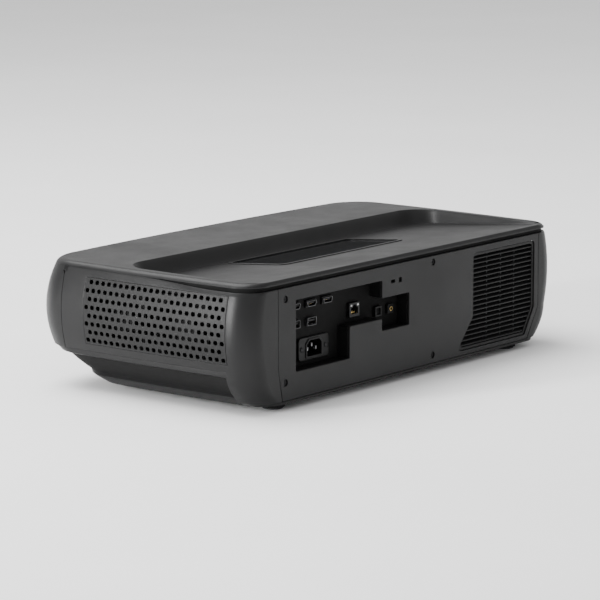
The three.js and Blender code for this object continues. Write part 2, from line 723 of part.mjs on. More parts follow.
function addLightEngine() {
  const { x, y, high, wall, floor } = ENGINE;
  const outside = block(x, y, [DECKING_Z, high]);
  const inside = block([x[0] + wall, x[1] - wall], [y[0] + wall, y[1] - wall], [DECKING_Z + floor, FAR]);
  const lensHole = bar("y", [LENS.x, LENS.z], ENGINE.lensHole, y[0] - 1, y[0] + 2 * wall, 32);
  const beamHole = bar("x", [BEAM_Y, LENS.z], ENGINE.beamHole, x[0] - 1, x[0] + 2 * wall, 16);
  addPart("light_engine_housing", cut(outside, inside, lensHole, beamHole), castAluminium);
}

function addImagingBoard() {
  const board = block([-36, 36], [92, 94], [DECKING_Z + ENGINE.floor + GAP, 108]);
  const chip = block([-14, 14], [86, 93], [LENS.z - 10, LENS.z + 10]);
  addPart("imaging_chip_board", join(board, chip), circuitBoard);
}

// Lens profiles: (radius, y) points.
const BARREL_RADIUS = 23; // where the focus ring turns on it
const BARREL_PROFILE = [
  [20.6, -22], [25, -22], [25, -14], [BARREL_RADIUS, -12], [BARREL_RADIUS, 18], [24, 20], [24, 34],
  [31, 34], [31, 40], [24, 40], [21, 51.6], [18, 51.6], [18, 0], [20.6, 0],
];
const ELEMENT_PROFILE = [[0, -18], [12, -17], [20, -13], [20, -9], [12, -6], [0, -5]];

function addLens() {
  addPart("lens_barrel", turnedAlongY(BARREL_PROFILE), blackPlastic);
  addPart("front_lens_element", turnedAlongY(ELEMENT_PROFILE), lensGlass);
}

// A turned piece around the lens axis, from (radius, y) points.
function turnedAlongY(profile) {
  const points = [...profile, profile[0]].map(([radius, y]) => new THREE.Vector2(radius, y));
  const geometry = new THREE.LatheGeometry(points, 24);
  geometry.translate(LENS.x, 0, LENS.z);
  const turned = solidOf(geometry);
  return turned.volume() < 0 ? solidOf(reversed(geometry)) : turned;
}

function reversed(geometry) {
  const flipped = geometry.toNonIndexed();
  const array = flipped.attributes.position.array;
  for (let i = 0; i < array.length; i += 9) {
    for (let k = 0; k < 3; k++) {
      [array[i + 3 + k], array[i + 6 + k]] = [array[i + 6 + k], array[i + 3 + k]];
    }
  }
  return flipped;
}

// One tooth: shares of the tooth pitch, and heights off the pitch circle in modules.
const TOOTH = [[-0.27, -1.15], [-0.12, 0.8], [0.12, 0.8], [0.27, -1.15]];

// A gear's outline in (x, z): slim straight-sided teeth.
function gearOutline(centre, teeth, phase) {
  const pitchRadius = (GEAR_MODULE * teeth) / 2;
  const points = [];
  const tooth = (2 * Math.PI) / teeth;
  for (let i = 0; i < teeth; i++) {
    const middle = phase + i * tooth;
    TOOTH.forEach(([share, height]) => {
      const radius = pitchRadius + height * GEAR_MODULE;
      const angle = middle + share * tooth;
      points.push([centre[0] + radius * Math.cos(angle), centre[1] + radius * Math.sin(angle)]);
    });
  }
  return points;
}

const GEAR_Y = [2, 10];
const MOTOR = { radius: 8, y: [12, 34], shaft: 1.5, shaftClearance: 0.1, shaftEnd: 18 };

function addFocusDrive() {
  const centreDistance = (GEAR_MODULE * (RING_TEETH + PINION_TEETH)) / 2;
  const axis = [LENS.x, LENS.z];
  const pinionAxis = [LENS.x + centreDistance, LENS.z];
  const pinionPhase = Math.PI + Math.PI / PINION_TEETH;
  const ringBore = bar("y", axis, BARREL_RADIUS + GAP, 0, 12, 32);
  addPart("focus_ring", cut(prism("y", gearOutline(axis, RING_TEETH, 0), ...GEAR_Y), ringBore), blackPlastic);
  const gear = prism("y", gearOutline(pinionAxis, PINION_TEETH, pinionPhase), ...GEAR_Y);
  const shaft = bar("y", pinionAxis, MOTOR.shaft, GEAR_Y[1] - 1, MOTOR.shaftEnd, 12);
  addPart("focus_pinion", join(gear, shaft), steel);
  const body = bar("y", pinionAxis, MOTOR.radius, ...MOTOR.y, 20);
  const foot = block([pinionAxis[0] - 6, pinionAxis[0] + 6], [14, 32], [DECKING_Z, LENS.z - 6]);
  const bore = bar("y", pinionAxis, MOTOR.shaft + MOTOR.shaftClearance, 11, MOTOR.shaftEnd + 1, 12);
  addPart("focus_motor", cut(join(body, foot), bore), steel);
}

const MIRROR = { low: 64, high: 120, halfWidth: 78, back: -123, thickness: 5, sag: 20, columns: 12 };

function addConcaveMirror() {
  const front = [];
  const back = [];
  for (let i = 0; i <= MIRROR.columns; i++) {
    const share = (2 * i) / MIRROR.columns - 1;
    const x = MIRROR.halfWidth * share;
    const y = MIRROR.back + MIRROR.sag * share * share;
    back.push([x, y]);
    front.push([x, y + MIRROR.thickness]);
  }
  addPart("concave_mirror", prism("z", [...back, ...front.reverse()], MIRROR.low, MIRROR.high), mirrorCoat);
}

// ---- Laser source and wheels --------------------------------------------------------------

const LASER = { x: [-160, -122], y: [56, 100], high: 100, nose: 9 };
const HEAT_SINK = {
  plate: [-168, -160.3],
  y: [40, 106],
  high: 108,
  fins: 9,
  fin: 2,
  finPitch: 7.6,
  finReach: -196,
};

function addLaserSource() {
  const body = block(LASER.x, LASER.y, [DECKING_Z, LASER.high]);
  const nose = bar("x", [BEAM_Y, LENS.z], LASER.nose, LASER.x[1] - 1, LASER.x[1] + 10, 16);
  addPart("laser_module", join(body, nose), castAluminium);
  const { plate, y, high, fins, finPitch, fin, finReach } = HEAT_SINK;
  let sink = block(plate, y, [DECKING_Z, high]);
  for (let i = 0; i < fins; i++) {
    const start = y[0] + 1 + i * finPitch;
    sink = join(sink, block([finReach, plate[0] + 1], [start, start + fin], [DECKING_Z, high]));
  }
  addPart("laser_heat_sink", sink, castAluminium);
}

const PHOSPHOR_WHEEL = { x: -90, y: 80, z: 50, radius: 29 };
const COLOUR_WHEEL = { x: -76, y: 20, z: 62, radius: 25 };

const WHEEL = { thickness: 1.6, hub: 9, hubLength: 6, shaft: 1.5, shaftLength: 10 };
const WHEEL_MOTOR = { radius: 11, near: 4, far: 20, foot: 8 };

function addWheel(name, { x, y, z, radius }, look) {
  const centre = [y, z];
  const disc = bar("x", centre, radius, x - WHEEL.thickness / 2, x + WHEEL.thickness / 2, 28);
  const hub = bar("x", centre, WHEEL.hub, x - WHEEL.hubLength / 2, x + WHEEL.hubLength / 2, 20);
  const shaft = bar("x", centre, WHEEL.shaft, x - WHEEL.shaftLength, x, 12);
  addPart(name, join(disc, hub, shaft), look);
}

function addWheelMotor(name, { x, y, z }) {
  const { radius, near, far, foot } = WHEEL_MOTOR;
  const body = bar("x", [y, z], radius, x - far, x - near, 20);
  const base = block([x - far + 2, x - near - 2], [y - foot, y + foot], [DECKING_Z, z - 6]);
  const bore = bar("x", [y, z], WHEEL.shaft + 0.1, x - WHEEL.shaftLength - 2, x, 12);
  addPart(name, cut(join(body, base), bore), steel);
}

// ---- Fans ---------------------------------------------------------------------------------

const FAN = {
  size: 72,
  thickness: 25,
  z: 78,
  bore: 34, // radii
  blade: 32.6,
  hub: 16,
  shaft: 2,
  spoke: 4, // width
  carrier: 3, // thickness
};
const BLADES = { count: 7, thickness: 2, chord: 16, pitch: 0.9 };
const FANS = [
  { name: "intake_fan_front", x: 238, y: -42, inward: -1 },
  { name: "intake_fan_rear", x: 238, y: 44, inward: -1 },
  { name: "exhaust_fan", x: -238, y: 44, inward: 1 },
];

function addFan({ name, x, y, inward }) {
  const half = FAN.thickness / 2;
  const low = FAN.z - FAN.size / 2;
  const centre = [y, FAN.z];
  const square = block([x - half, x + half], [y - FAN.size / 2, y + FAN.size / 2], [low, low + FAN.size]);
  const bore = bar("x", centre, FAN.bore, x - FAN.thickness, x + FAN.thickness, 24);
  const back = x + inward * half;
  const span = [back, back - inward * FAN.carrier].sort((a, b) => a - b);
  const carrier = bar("x", centre, FAN.hub - 1, ...span, 20);
  const reach = FAN.bore + 0.5;
  const width = FAN.spoke / 2;
  const level = block(span, [y - reach, y + reach], [FAN.z - width, FAN.z + width]);
  const upright = block(span, [y - width, y + width], [FAN.z - reach, FAN.z + reach]);
  const shaftHole = bar("x", centre, FAN.shaft + GAP, x - FAN.thickness, x + FAN.thickness, 12);
  const frame = cut(join(cut(square, bore), carrier, level, upright), shaftHole);
  addPart(name + "_frame", frame, blackPlastic);
  addPart(name + "_impeller", impeller(x - inward * 2, y, inward), blackPlastic);
}

function impeller(x, y, inward) {
  const halfWidth = 9;
  const centre = [y, FAN.z];
  let wheel = bar("x", centre, FAN.hub, x - halfWidth, x + halfWidth, 24);
  const length = FAN.blade - FAN.hub + 2;
  for (let i = 0; i < BLADES.count; i++) {
    const blade = new THREE.BoxGeometry(BLADES.thickness, BLADES.chord, length);
    blade.rotateZ(BLADES.pitch);
    blade.translate(0, 0, FAN.hub - 2 + length / 2);
    blade.rotateX((2 * Math.PI * i) / BLADES.count);
    blade.translate(x, y, FAN.z);
    wheel = join(wheel, solidOf(blade));
  }
  const ends = [x, x + inward * (halfWidth + 3.5)].sort((a, b) => a - b);
  const shaft = bar("x", centre, FAN.shaft, ...ends, 12);
  return join(wheel, shaft).intersect(bar("x", centre, FAN.blade + 0.4, x - 14, x + 14, 32));
}

// ---- Loudspeakers and power button --------------------------------------------------------

const SPEAKER = { x: 168, halfWidth: 32, y: [-128, -84], z: [58, 120], wall: 3, mouth: 24, coneZ: 86 };
const SPEAKER_PORT = { offset: 20, z: 70, radius: 6 };

function addSpeaker(name, side) {
  const x = SPEAKER.x * side;
  const { halfWidth, y, z, wall, mouth, coneZ } = SPEAKER;
  const inner = halfWidth - wall;
  const box = block([x - halfWidth, x + halfWidth], y, z);
  const room = block([x - inner, x + inner], [y[0] + wall, y[1] - wall], [z[0] + wall, z[1] - wall]);
  const portCentre = [x + SPEAKER_PORT.offset * side, SPEAKER_PORT.z];
  const port = bar("y", portCentre, SPEAKER_PORT.radius, y[1] - wall - 3, y[1] + 4, 16);
  const opening = bar("y", [x, coneZ], mouth, y[0] - 12, y[0] + 8, 18);
  addPart(name, join(cut(box, room, port, opening), gasket(x), speakerCone(x)), blackPlastic);
}

// The cone, its magnet, and the stem that carries the magnet on the box's back.
function speakerCone(x) {
  const { y, mouth, coneZ } = SPEAKER;
  return join(
    bar("y", [x, coneZ], mouth - GAP, y[0] + 0.6, y[0] + 4, 18),
    bar("y", [x, coneZ], 14, y[0] + 3, y[0] + 24, 14),
    block([x - 2, x + 2], [y[0] + 23, y[1] - 2], [coneZ - 2, coneZ + 2]),
  );
}

// The gasket that ties a loudspeaker's cone to its box.
function gasket(x) {
  const { y, mouth, coneZ } = SPEAKER;
  const outside = bar("y", [x, coneZ], mouth + 0.4, y[0] + 0.4, y[0] + 2, 18);
  return cut(outside, bar("y", [x, coneZ], mouth - 2, y[0] - 2, y[0] + 8, 18));
}

const SWITCH = { stem: 3, stemEnd: 12, depth: 8, half: 7, bracketFoot: 50 };

function addPowerButton() {
  const centre = [BUTTON.y, BUTTON.z];
  const cap = upperWall.intersect(bar("x", centre, BUTTON.radius, -FAR, 0));
  const stemEnd = -HALF_WIDTH + SWITCH.stemEnd;
  const stem = bar("x", centre, SWITCH.stem, -HALF_WIDTH + WALL + 0.8, stemEnd, 12);
  addPart("power_button", join(cap, stem), blackPlastic);
  const low = stemEnd + BUTTON.travel + GAP;
  const across = [BUTTON.y - SWITCH.half, BUTTON.y + SWITCH.half];
  const body = block([low, low + SWITCH.depth], across, [BUTTON.z - SWITCH.half, BUTTON.z + SWITCH.half]);
  const bracket = block([low + 4, low + 6], across, [SWITCH.bracketFoot, BUTTON.z]);
  addPart("power_switch", join(body, bracket), blackPlastic);
}

// ---- The whole projector ------------------------------------------------------------------

addBaseTray();
addFrontFascia();
addFrontGrille();
addEndCover("end_cover_right", 1);
addEndCover("end_cover_left", -1);
addEndGrille("end_grille_right", 1);
addEndGrille("end_grille_left", -1);
addRearPanel();
addRearVentGrille();
addTopCover();
addTopDeck();
addProjectionWindow();
addFeet();
addConnectorBay();
addConnectors();
addPowerInlet();
addChassis();
addMainBoard();
addPowerSupply();
addLightEngine();
addImagingBoard();
addLens();
addFocusDrive();
addConcaveMirror();
addLaserSource();
addWheel("phosphor_wheel", PHOSPHOR_WHEEL, phosphor);
addWheelMotor("phosphor_wheel_motor", PHOSPHOR_WHEEL);
addWheel("colour_wheel", COLOUR_WHEEL, coatedGlass);
addWheelMotor("colour_wheel_motor", COLOUR_WHEEL);
FANS.forEach(addFan);
addSpeaker("loudspeaker_right", 1);
addSpeaker("loudspeaker_left", -1);
addPowerButton();

export default projector;
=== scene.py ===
"""Home projector of the ultra-short-throw kind: the visible model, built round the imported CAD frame.

Metres, +Z up. The front faces -Y, and the connectors are on the +Y side.
"""
import json
import math

import bmesh
import bpy
from mathutils import Matrix, Vector


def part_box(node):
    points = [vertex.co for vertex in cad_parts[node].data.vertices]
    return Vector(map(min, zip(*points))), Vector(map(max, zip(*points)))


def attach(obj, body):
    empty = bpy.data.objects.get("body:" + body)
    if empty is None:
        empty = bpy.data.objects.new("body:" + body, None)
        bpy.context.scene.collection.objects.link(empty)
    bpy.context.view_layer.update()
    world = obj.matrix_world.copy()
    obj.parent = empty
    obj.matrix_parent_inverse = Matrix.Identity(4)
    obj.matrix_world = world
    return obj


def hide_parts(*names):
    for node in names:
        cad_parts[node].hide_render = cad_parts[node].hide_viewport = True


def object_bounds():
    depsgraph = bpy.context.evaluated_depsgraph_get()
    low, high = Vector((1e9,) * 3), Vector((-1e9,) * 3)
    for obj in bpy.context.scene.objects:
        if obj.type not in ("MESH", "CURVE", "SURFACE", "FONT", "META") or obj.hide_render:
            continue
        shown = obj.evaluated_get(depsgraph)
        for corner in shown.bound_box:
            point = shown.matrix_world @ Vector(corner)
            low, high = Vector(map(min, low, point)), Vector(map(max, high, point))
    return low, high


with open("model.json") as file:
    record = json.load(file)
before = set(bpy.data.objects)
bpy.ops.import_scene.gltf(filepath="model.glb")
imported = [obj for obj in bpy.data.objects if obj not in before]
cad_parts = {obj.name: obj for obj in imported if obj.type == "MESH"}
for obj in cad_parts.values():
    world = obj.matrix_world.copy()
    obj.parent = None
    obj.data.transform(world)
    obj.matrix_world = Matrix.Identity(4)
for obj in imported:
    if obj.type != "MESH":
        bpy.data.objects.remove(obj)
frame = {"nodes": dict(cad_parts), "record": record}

CAD_LOW, CAD_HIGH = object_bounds()
MM = 0.001
NEAR = 1e-6  # two heights or places this close are the same
SHARP_ANGLE = 32  # degrees: an edge that turns more than this stays crisp

# ---- Driving dimensions ---------------------------------------------------------------------

HALF_WIDTH = CAD_HIGH.x
REAR_Y = CAD_HIGH.y
FRONT_Y = CAD_LOW.y
HEIGHT = CAD_HIGH.z
GROUND_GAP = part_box("base_tray")[0].z
LEDGE_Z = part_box("front_fascia")[0].z
SEAM_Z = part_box("top_cover")[0].z
FRONT_SEAM_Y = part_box("end_cover_right")[0].y
WALL = 2.6 * MM
HAIRLINE = 0.3 * MM  # gap between neighbouring mouldings

# The shell's curvature, as in the CAD model.
WIDEST_Z = 86 * MM
BULGE = 10 * MM
TOP_EDGE_RADIUS = 5 * MM
END_BOW = 4 * MM
FRONT_BOW = 8 * MM
FRONT_RADIUS = 40 * MM
REAR_RADIUS = 26 * MM
LEDGE_STEP = 1.2 * MM
BASE_TAPER = 24 * MM
GRIP_DEPTH = 7 * MM
GRIP_LOW = (16 * MM, 21 * MM)  # heights between which the grip groove deepens
GRIP_HIGH = (37.5 * MM, 40.5 * MM)  # and runs out again
UNDERCUT = 50 * MM
POST_Y = 120 * MM
SHADOW_GAP = 4.0 * MM  # height of the groove under the rear of the top cover
SHADOW_RUN = (10 * MM, 105 * MM)  # the groove grows to its full height between these places

DECK_RADIUS = 34 * MM
DECK_REAR_RADIUS = 10 * MM
DECK_DEPTH = 17 * MM
DECK_REAR_DEPTH = 2 * MM
DECK_WALL_RUN = 8 * MM


# ---- Mesh helpers ---------------------------------------------------------------------------

def new_object(name, mesh, material=None):
    """An object in the scene for a mesh, with one material."""
    piece = bpy.data.objects.new(name, mesh)
    bpy.context.scene.collection.objects.link(piece)
    if material:
        mesh.materials.clear()
        mesh.materials.append(material)
    return piece


def grid_faces(columns, rows):
    """Faces of a grid of points that are listed row by row."""
    width = columns + 1
    corners = [r * width + c for r in range(rows) for c in range(columns)]
    return [(a, a + 1, a + 1 + width, a + width) for a in corners]


def tube_faces(sides, rings):
    """Faces between rings of points that each go once round."""
    faces = []
    for ring in range(rings - 1):
        for i in range(sides):
            a = ring * sides + i
            b = ring * sides + (i + 1) % sides
            faces.append((a, b, b + sides, a + sides))
    return faces


def mesh_from(name, points, faces):
    mesh = bpy.data.meshes.new(name)
    mesh.from_pydata([tuple(p) for p in points], [], faces)
    mesh.update()
    return mesh


def taken(name, shape):
    """The mesh built up in a bmesh, which is freed."""
    mesh = bpy.data.meshes.new(name)
    shape.to_mesh(mesh)
    shape.free()
    return mesh


def crisp(piece):
    """Weights a smooth piece's normals, with its corners kept."""
    weighted = piece.modifiers.new("normals", "WEIGHTED_NORMAL")
    weighted.keep_sharp = True
    return piece


def discard(piece):
    old = piece.data
    bpy.data.objects.remove(piece)
    bpy.data.meshes.remove(old)


def settle(piece, sharp_angle=SHARP_ANGLE):
    """Applies the piece's modifiers and shades it smooth, with its corners kept crisp."""
    graph = bpy.context.evaluated_depsgraph_get()
    mesh = bpy.data.meshes.new_from_object(piece.evaluated_get(graph))
    mesh.name = piece.name
    piece.modifiers.clear()
    piece.data = mesh
    mesh.polygons.foreach_set("use_smooth", [True] * len(mesh.polygons))
    mesh.set_sharp_from_angle(angle=math.radians(sharp_angle))
    return crisp(piece)


def add_bevel(piece, width, segments=2, angle=38):
    bevel = piece.modifiers.new("bevel", "BEVEL")
    bevel.width = width
    bevel.segments = segments
    bevel.limit_method = "ANGLE"
    bevel.angle_limit = math.radians(angle)
    bevel.use_clamp_overlap = True
    return piece


def add_wall(piece, thickness=WALL):
    """Thickens a surface inward, away from its outward-facing normals."""
    wall = piece.modifiers.new("wall", "SOLIDIFY")
    wall.thickness = thickness
    wall.offset = -1
    wall.use_even_offset = False
    return piece


def place(piece, body="casing", slot=None, replaces=()):
    """Rides the piece on a body and hides the CAD parts it replaces. The slot is not used."""
    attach(piece, body)
    if replaces:
        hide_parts(*replaces)
    return piece


def clean(mesh):
    """Merges coincident points and turns every face outward."""
    shape = bmesh.new()
    shape.from_mesh(mesh)
    bmesh.ops.remove_doubles(shape, verts=shape.verts, dist=NEAR)
    bmesh.ops.recalc_face_normals(shape, faces=shape.faces)
    shape.to_mesh(mesh)
    shape.free()
    mesh.update()
    return mesh


AXIS_TURN = {
    "x": Matrix(((0, 0, 1, 0), (1, 0, 0, 0), (0, 1, 0, 0), (0, 0, 0, 1))),
    "y": Matrix(((1, 0, 0, 0), (0, 0, -1, 0), (0, 1, 0, 0), (0, 0, 0, 1))),
    "z": Matrix.Identity(4),
}


def plate(name, outlines, axis, low, high, bevel, material, segments=2):
    """A flat piece with rounded edges: the first outline less the others, between two planes.

    The outlines' points are (y, z) across axis x, (x, z) across axis y and (x, y) across axis z.
    """
    curve = bpy.data.curves.new(name, "CURVE")
    curve.dimensions = "2D"
    curve.fill_mode = "BOTH"
    curve.extrude = (high - low) / 2 - bevel
    curve.bevel_depth = bevel
    curve.bevel_resolution = segments
    curve.offset = -bevel
    for outline in outlines:
        spline = curve.splines.new("POLY")
        spline.points.add(len(outline) - 1)
        for point, (u, v) in zip(spline.points, outline):
            point.co = (u, v, 0, 1)
        spline.use_cyclic_u = True
    holder = bpy.data.objects.new(name + "_outline", curve)
    bpy.context.scene.collection.objects.link(holder)
    graph = bpy.context.evaluated_depsgraph_get()
    mesh = bpy.data.meshes.new_from_object(holder.evaluated_get(graph))
    bpy.data.objects.remove(holder)
    bpy.data.curves.remove(curve)
    mesh.transform(AXIS_TURN[axis])
    middle = (low + high) / 2
    shift = Vector([middle if axis == each else 0 for each in "xyz"])
    mesh.transform(Matrix.Translation(shift))
    return settle(new_object(name, clean(mesh), material))


def rectangle(u, v, width, height):
    return [
        (u - width / 2, v - height / 2),
        (u + width / 2, v - height / 2),
        (u + width / 2, v + height / 2),
        (u - width / 2, v + height / 2),
    ]


def rounded(points, radius, steps=5):
    """An outline with each of its corners rounded."""
    done = []
    count = len(points)
    for i, corner in enumerate(points):
        here = Vector(corner)
        before = Vector(points[i - 1]) - here
        after = Vector(points[(i + 1) % count]) - here
        turn = before.angle(after)
        reach = min(radius / math.tan(turn / 2), before.length * 0.49, after.length * 0.49)
        start = here + before.normalized() * reach
        end = here + after.normalized() * reach
        for k in range(steps + 1):
            t = k / steps
            done.append(tuple(start * (1 - t) ** 2 + here * 2 * t * (1 - t) + end * t * t))
    return done


def disc(u, v, radius, sides=40):
    angles = [2 * math.pi * i / sides for i in range(sides)]
    return [(u + radius * math.cos(a), v + radius * math.sin(a)) for a in angles]


def turned(name, profile, axis, centre, material, sides=48):
    """A turned piece: profile points are (radius, distance along the axis) and end on the axis."""
    points = [Vector((u, v, along)) for radius, along in profile for u, v in disc(0, 0, radius, sides)]
    mesh = mesh_from(name, points, tube_faces(sides, len(profile)))
    mesh.transform(AXIS_TURN[axis] if axis != "y" else Matrix.Rotation(-math.pi / 2, 4, "X"))
    mesh.transform(Matrix.Translation(centre))
    return settle(new_object(name, clean(mesh), material))


def merged(name, pieces):
    """One object out of several."""
    shape = bmesh.new()
    materials = []
    for piece in pieces:
        for material in piece.data.materials:
            if material not in materials:
                materials.append(material)
        lookup = [materials.index(m) for m in piece.data.materials]
        first = len(shape.faces)
        shape.from_mesh(piece.data)
        shape.faces.ensure_lookup_table()
        for face in shape.faces[first:]:
            face.material_index = lookup[face.material_index] if lookup else 0
    mesh = taken(name, shape)
    for material in materials:
        mesh.materials.append(material)
    for piece in pieces:
        discard(piece)
    whole = new_object(name, mesh)
    mesh.set_sharp_from_angle(angle=math.radians(SHARP_ANGLE))
    return crisp(whole)


# ---- Materials ------------------------------------------------------------------------------

def shader(name):
    """A material with its node tree, its Principled shader and the piece's own coordinates."""
    material = bpy.data.materials.new(name)
    material.use_nodes = True
    tree = material.node_tree
    surface = tree.nodes["Principled BSDF"]
    place_node = tree.nodes.new("ShaderNodeTexCoord")
    return material, tree, surface, place_node.outputs["Object"]


def noise(tree, where, scale, detail=3, roughness=0.5):
    node = tree.nodes.new("ShaderNodeTexNoise")
    node.inputs["Scale"].default_value = scale
    node.inputs["Detail"].default_value = detail
    node.inputs["Roughness"].default_value = roughness
    tree.links.new(where, node.inputs["Vector"])
    return node.outputs["Fac"]


def ramp(tree, value, low, high, start=0.3, end=0.7):
    """A colour or grey that runs from low to high as the value goes from start to end."""
    node = tree.nodes.new("ShaderNodeValToRGB")
    node.color_ramp.elements[0].position = start
    node.color_ramp.elements[1].position = end
    node.color_ramp.elements[0].color = low if len(low) == 4 else (*low, 1)
    node.color_ramp.elements[1].color = high if len(high) == 4 else (*high, 1)
    tree.links.new(value, node.inputs["Fac"])
    return node.outputs["Color"]


def grey(value):
    return (value, value, value)


def bump(tree, surface, height, strength, distance):
    node = tree.nodes.new("ShaderNodeBump")
    node.inputs["Strength"].default_value = strength
    node.inputs["Distance"].default_value = distance
    tree.links.new(height, node.inputs["Height"])
    tree.links.new(node.outputs["Normal"], surface.inputs["Normal"])


def moulded_plastic(name, colour, roughness, grain=2600, depth=0.35, variation=0.09):
    """Spark-eroded moulded plastic: fine even grain, slight mottling and handling marks."""
    material, tree, surface, where = shader(name)
    dark = tuple(c * (1 - variation) for c in colour)
    light = tuple(c * (1 + variation) for c in colour)
    mottling = noise(tree, where, 38, 5, 0.6)
    tree.links.new(ramp(tree, mottling, dark, light), surface.inputs["Base Color"])
    handling = noise(tree, where, 11, 4, 0.65)
    sheen = ramp(tree, handling, grey(roughness - 0.06), grey(roughness + 0.07))
    tree.links.new(sheen, surface.inputs["Roughness"])
    bump(tree, surface, noise(tree, where, grain, 2, 0.6), depth, 0.0002)
    surface.inputs["Specular IOR Level"].default_value = 0.2
    return material


def plated_metal(name, colour, roughness, brushed=0.0):
    """Plated or cast metal, with a fine grain and a little tarnish."""
    material, tree, surface, where = shader(name)
    stretch = tree.nodes.new("ShaderNodeMapping")
    stretch.inputs["Scale"].default_value = (1, 1 + 30 * brushed, 1)
    tree.links.new(where, stretch.inputs["Vector"])
    tarnish = noise(tree, where, 60, 4, 0.6)
    dark = tuple(c * 0.82 for c in colour)
    tree.links.new(ramp(tree, tarnish, dark, colour), surface.inputs["Base Color"])
    grain = noise(tree, stretch.outputs["Vector"], 700, 3, 0.6)
    worn = ramp(tree, grain, grey(roughness - 0.08), grey(roughness + 0.1))
    tree.links.new(worn, surface.inputs["Roughness"])
    bump(tree, surface, grain, 0.25, 0.0001)
    surface.inputs["Metallic"].default_value = 1.0
    return material


def tinted_glass(name, colour, roughness=0.03, transmission=0.9):
    """Polished glass with faint dust and smears in its gloss."""
    material, tree, surface, where = shader(name)
    dust = noise(tree, where, 24, 6, 0.7)
    smears = ramp(tree, dust, grey(roughness), grey(roughness + 0.09), 0.5, 0.8)
    tree.links.new(smears, surface.inputs["Roughness"])
    shade = noise(tree, where, 9, 2, 0.5)
    tree.links.new(ramp(tree, shade, tuple(c * 0.9 for c in colour), colour), surface.inputs["Base Color"])
    surface.inputs["Transmission Weight"].default_value = transmission
    surface.inputs["IOR"].default_value = 1.5
    surface.inputs["Coat Weight"].default_value = 0.3
    surface.inputs["Coat Roughness"].default_value = 0.05
    return material


def rubber_material(name, colour=(0.012, 0.012, 0.013)):
    material, tree, surface, where = shader(name)
    wear = noise(tree, where, 150, 5, 0.7)
    tree.links.new(ramp(tree, wear, colour, tuple(c * 2.2 for c in colour)), surface.inputs["Base Color"])
    bump(tree, surface, noise(tree, where, 1500, 3, 0.6), 0.5, 0.0003)
    surface.inputs["Roughness"].default_value = 0.85
    return material


def circuit_material(name):
    """Green solder mask over copper tracks, drawn by a brick pattern bent by noise."""
    material, tree, surface, where = shader(name)
    tracks = tree.nodes.new("ShaderNodeTexBrick")
    tracks.inputs["Scale"].default_value = 90
    tracks.inputs["Mortar Size"].default_value = 0.03
    tracks.inputs["Color1"].default_value = (0.008, 0.045, 0.02, 1)
    tracks.inputs["Color2"].default_value = (0.01, 0.06, 0.028, 1)
    tracks.inputs["Mortar"].default_value = (0.03, 0.14, 0.06, 1)
    tree.links.new(where, tracks.inputs["Vector"])
    tree.links.new(tracks.outputs["Color"], surface.inputs["Base Color"])
    bump(tree, surface, tracks.outputs["Fac"], 0.3, 0.0002)
    surface.inputs["Roughness"].default_value = 0.35
    return material


def cloth_material(name):
    """Woven black cloth: two sets of threads crossing."""
    material, tree, surface, where = shader(name)
    threads = []
    for direction in ("X", "Z"):
        wave = tree.nodes.new("ShaderNodeTexWave")
        wave.bands_direction = direction
        wave.inputs["Scale"].default_value = 700
        tree.links.new(where, wave.inputs["Vector"])
        threads.append(wave.outputs["Fac"])
    weave = tree.nodes.new("ShaderNodeMath")
    weave.operation = "MULTIPLY"
    tree.links.new(threads[0], weave.inputs[0])
    tree.links.new(threads[1], weave.inputs[1])
    shade = ramp(tree, weave.outputs["Value"], grey(0.001), grey(0.006), 0.1, 0.9)
    tree.links.new(shade, surface.inputs["Base Color"])
    bump(tree, surface, weave.outputs["Value"], 0.6, 0.0002)
    surface.inputs["Roughness"].default_value = 0.95
    return material


def mirror_material(name):
    material, tree, surface, where = shader(name)
    haze = noise(tree, where, 30, 5, 0.7)
    tree.links.new(ramp(tree, haze, grey(0.02), grey(0.07), 0.4, 0.8), surface.inputs["Roughness"])
    tree.links.new(ramp(tree, haze, grey(0.82), grey(0.9)), surface.inputs["Base Color"])
    surface.inputs["Metallic"].default_value = 1.0
    return material


def phosphor_material(name):
    material, tree, surface, where = shader(name)
    powder = noise(tree, where, 900, 4, 0.7)
    tree.links.new(ramp(tree, powder, (0.5, 0.36, 0.03), (0.75, 0.6, 0.08)), surface.inputs["Base Color"])
    bump(tree, surface, powder, 0.3, 0.0002)
    surface.inputs["Roughness"].default_value = 0.6
    return material


def light_material(name):
    """A frosted light guide, unlit."""
    material, tree, surface, where = shader(name)
    frost = noise(tree, where, 500, 3, 0.6)
    tree.links.new(ramp(tree, frost, grey(0.55), grey(0.75)), surface.inputs["Base Color"])
    bump(tree, surface, frost, 0.2, 0.0001)
    surface.inputs["Roughness"].default_value = 0.4
    surface.inputs["Transmission Weight"].default_value = 0.3
    return material


SHELL = moulded_plastic("shell_charcoal", (0.0085, 0.0085, 0.0087), 0.37)
BASE = moulded_plastic("base_charcoal", (0.0075, 0.0075, 0.0077), 0.42)
# Near-black material for the base's grip groove: painted shade where the groove lies in shadow.
GROOVE_PAINTED_SHADE = moulded_plastic("groove_painted_shade", (0.0025, 0.0025, 0.0025), 0.75)
DECK = moulded_plastic("deck_charcoal", (0.0085, 0.0085, 0.0087), 0.4, grain=3200, depth=0.25)
GRILLE = moulded_plastic("grille_charcoal", (0.0072, 0.0072, 0.0074), 0.42)
VENT = moulded_plastic("vent_charcoal", (0.0055, 0.0055, 0.0056), 0.46)
BLACK = moulded_plastic("black_plastic", (0.0035, 0.0035, 0.0036), 0.42, grain=3000)
DULL_BLACK = moulded_plastic("dull_black", (0.0018, 0.0018, 0.0018), 0.85, grain=1500)
PLATED = plated_metal("plated_steel", (0.2, 0.2, 0.205), 0.36)
BLACKENED = plated_metal("blackened_steel", (0.035, 0.035, 0.036), 0.42)
GOLD = plated_metal("gold_contacts", (0.83, 0.6, 0.24), 0.3)
BRUSHED = plated_metal("sheet_steel", (0.42, 0.43, 0.44), 0.42, brushed=1.0)
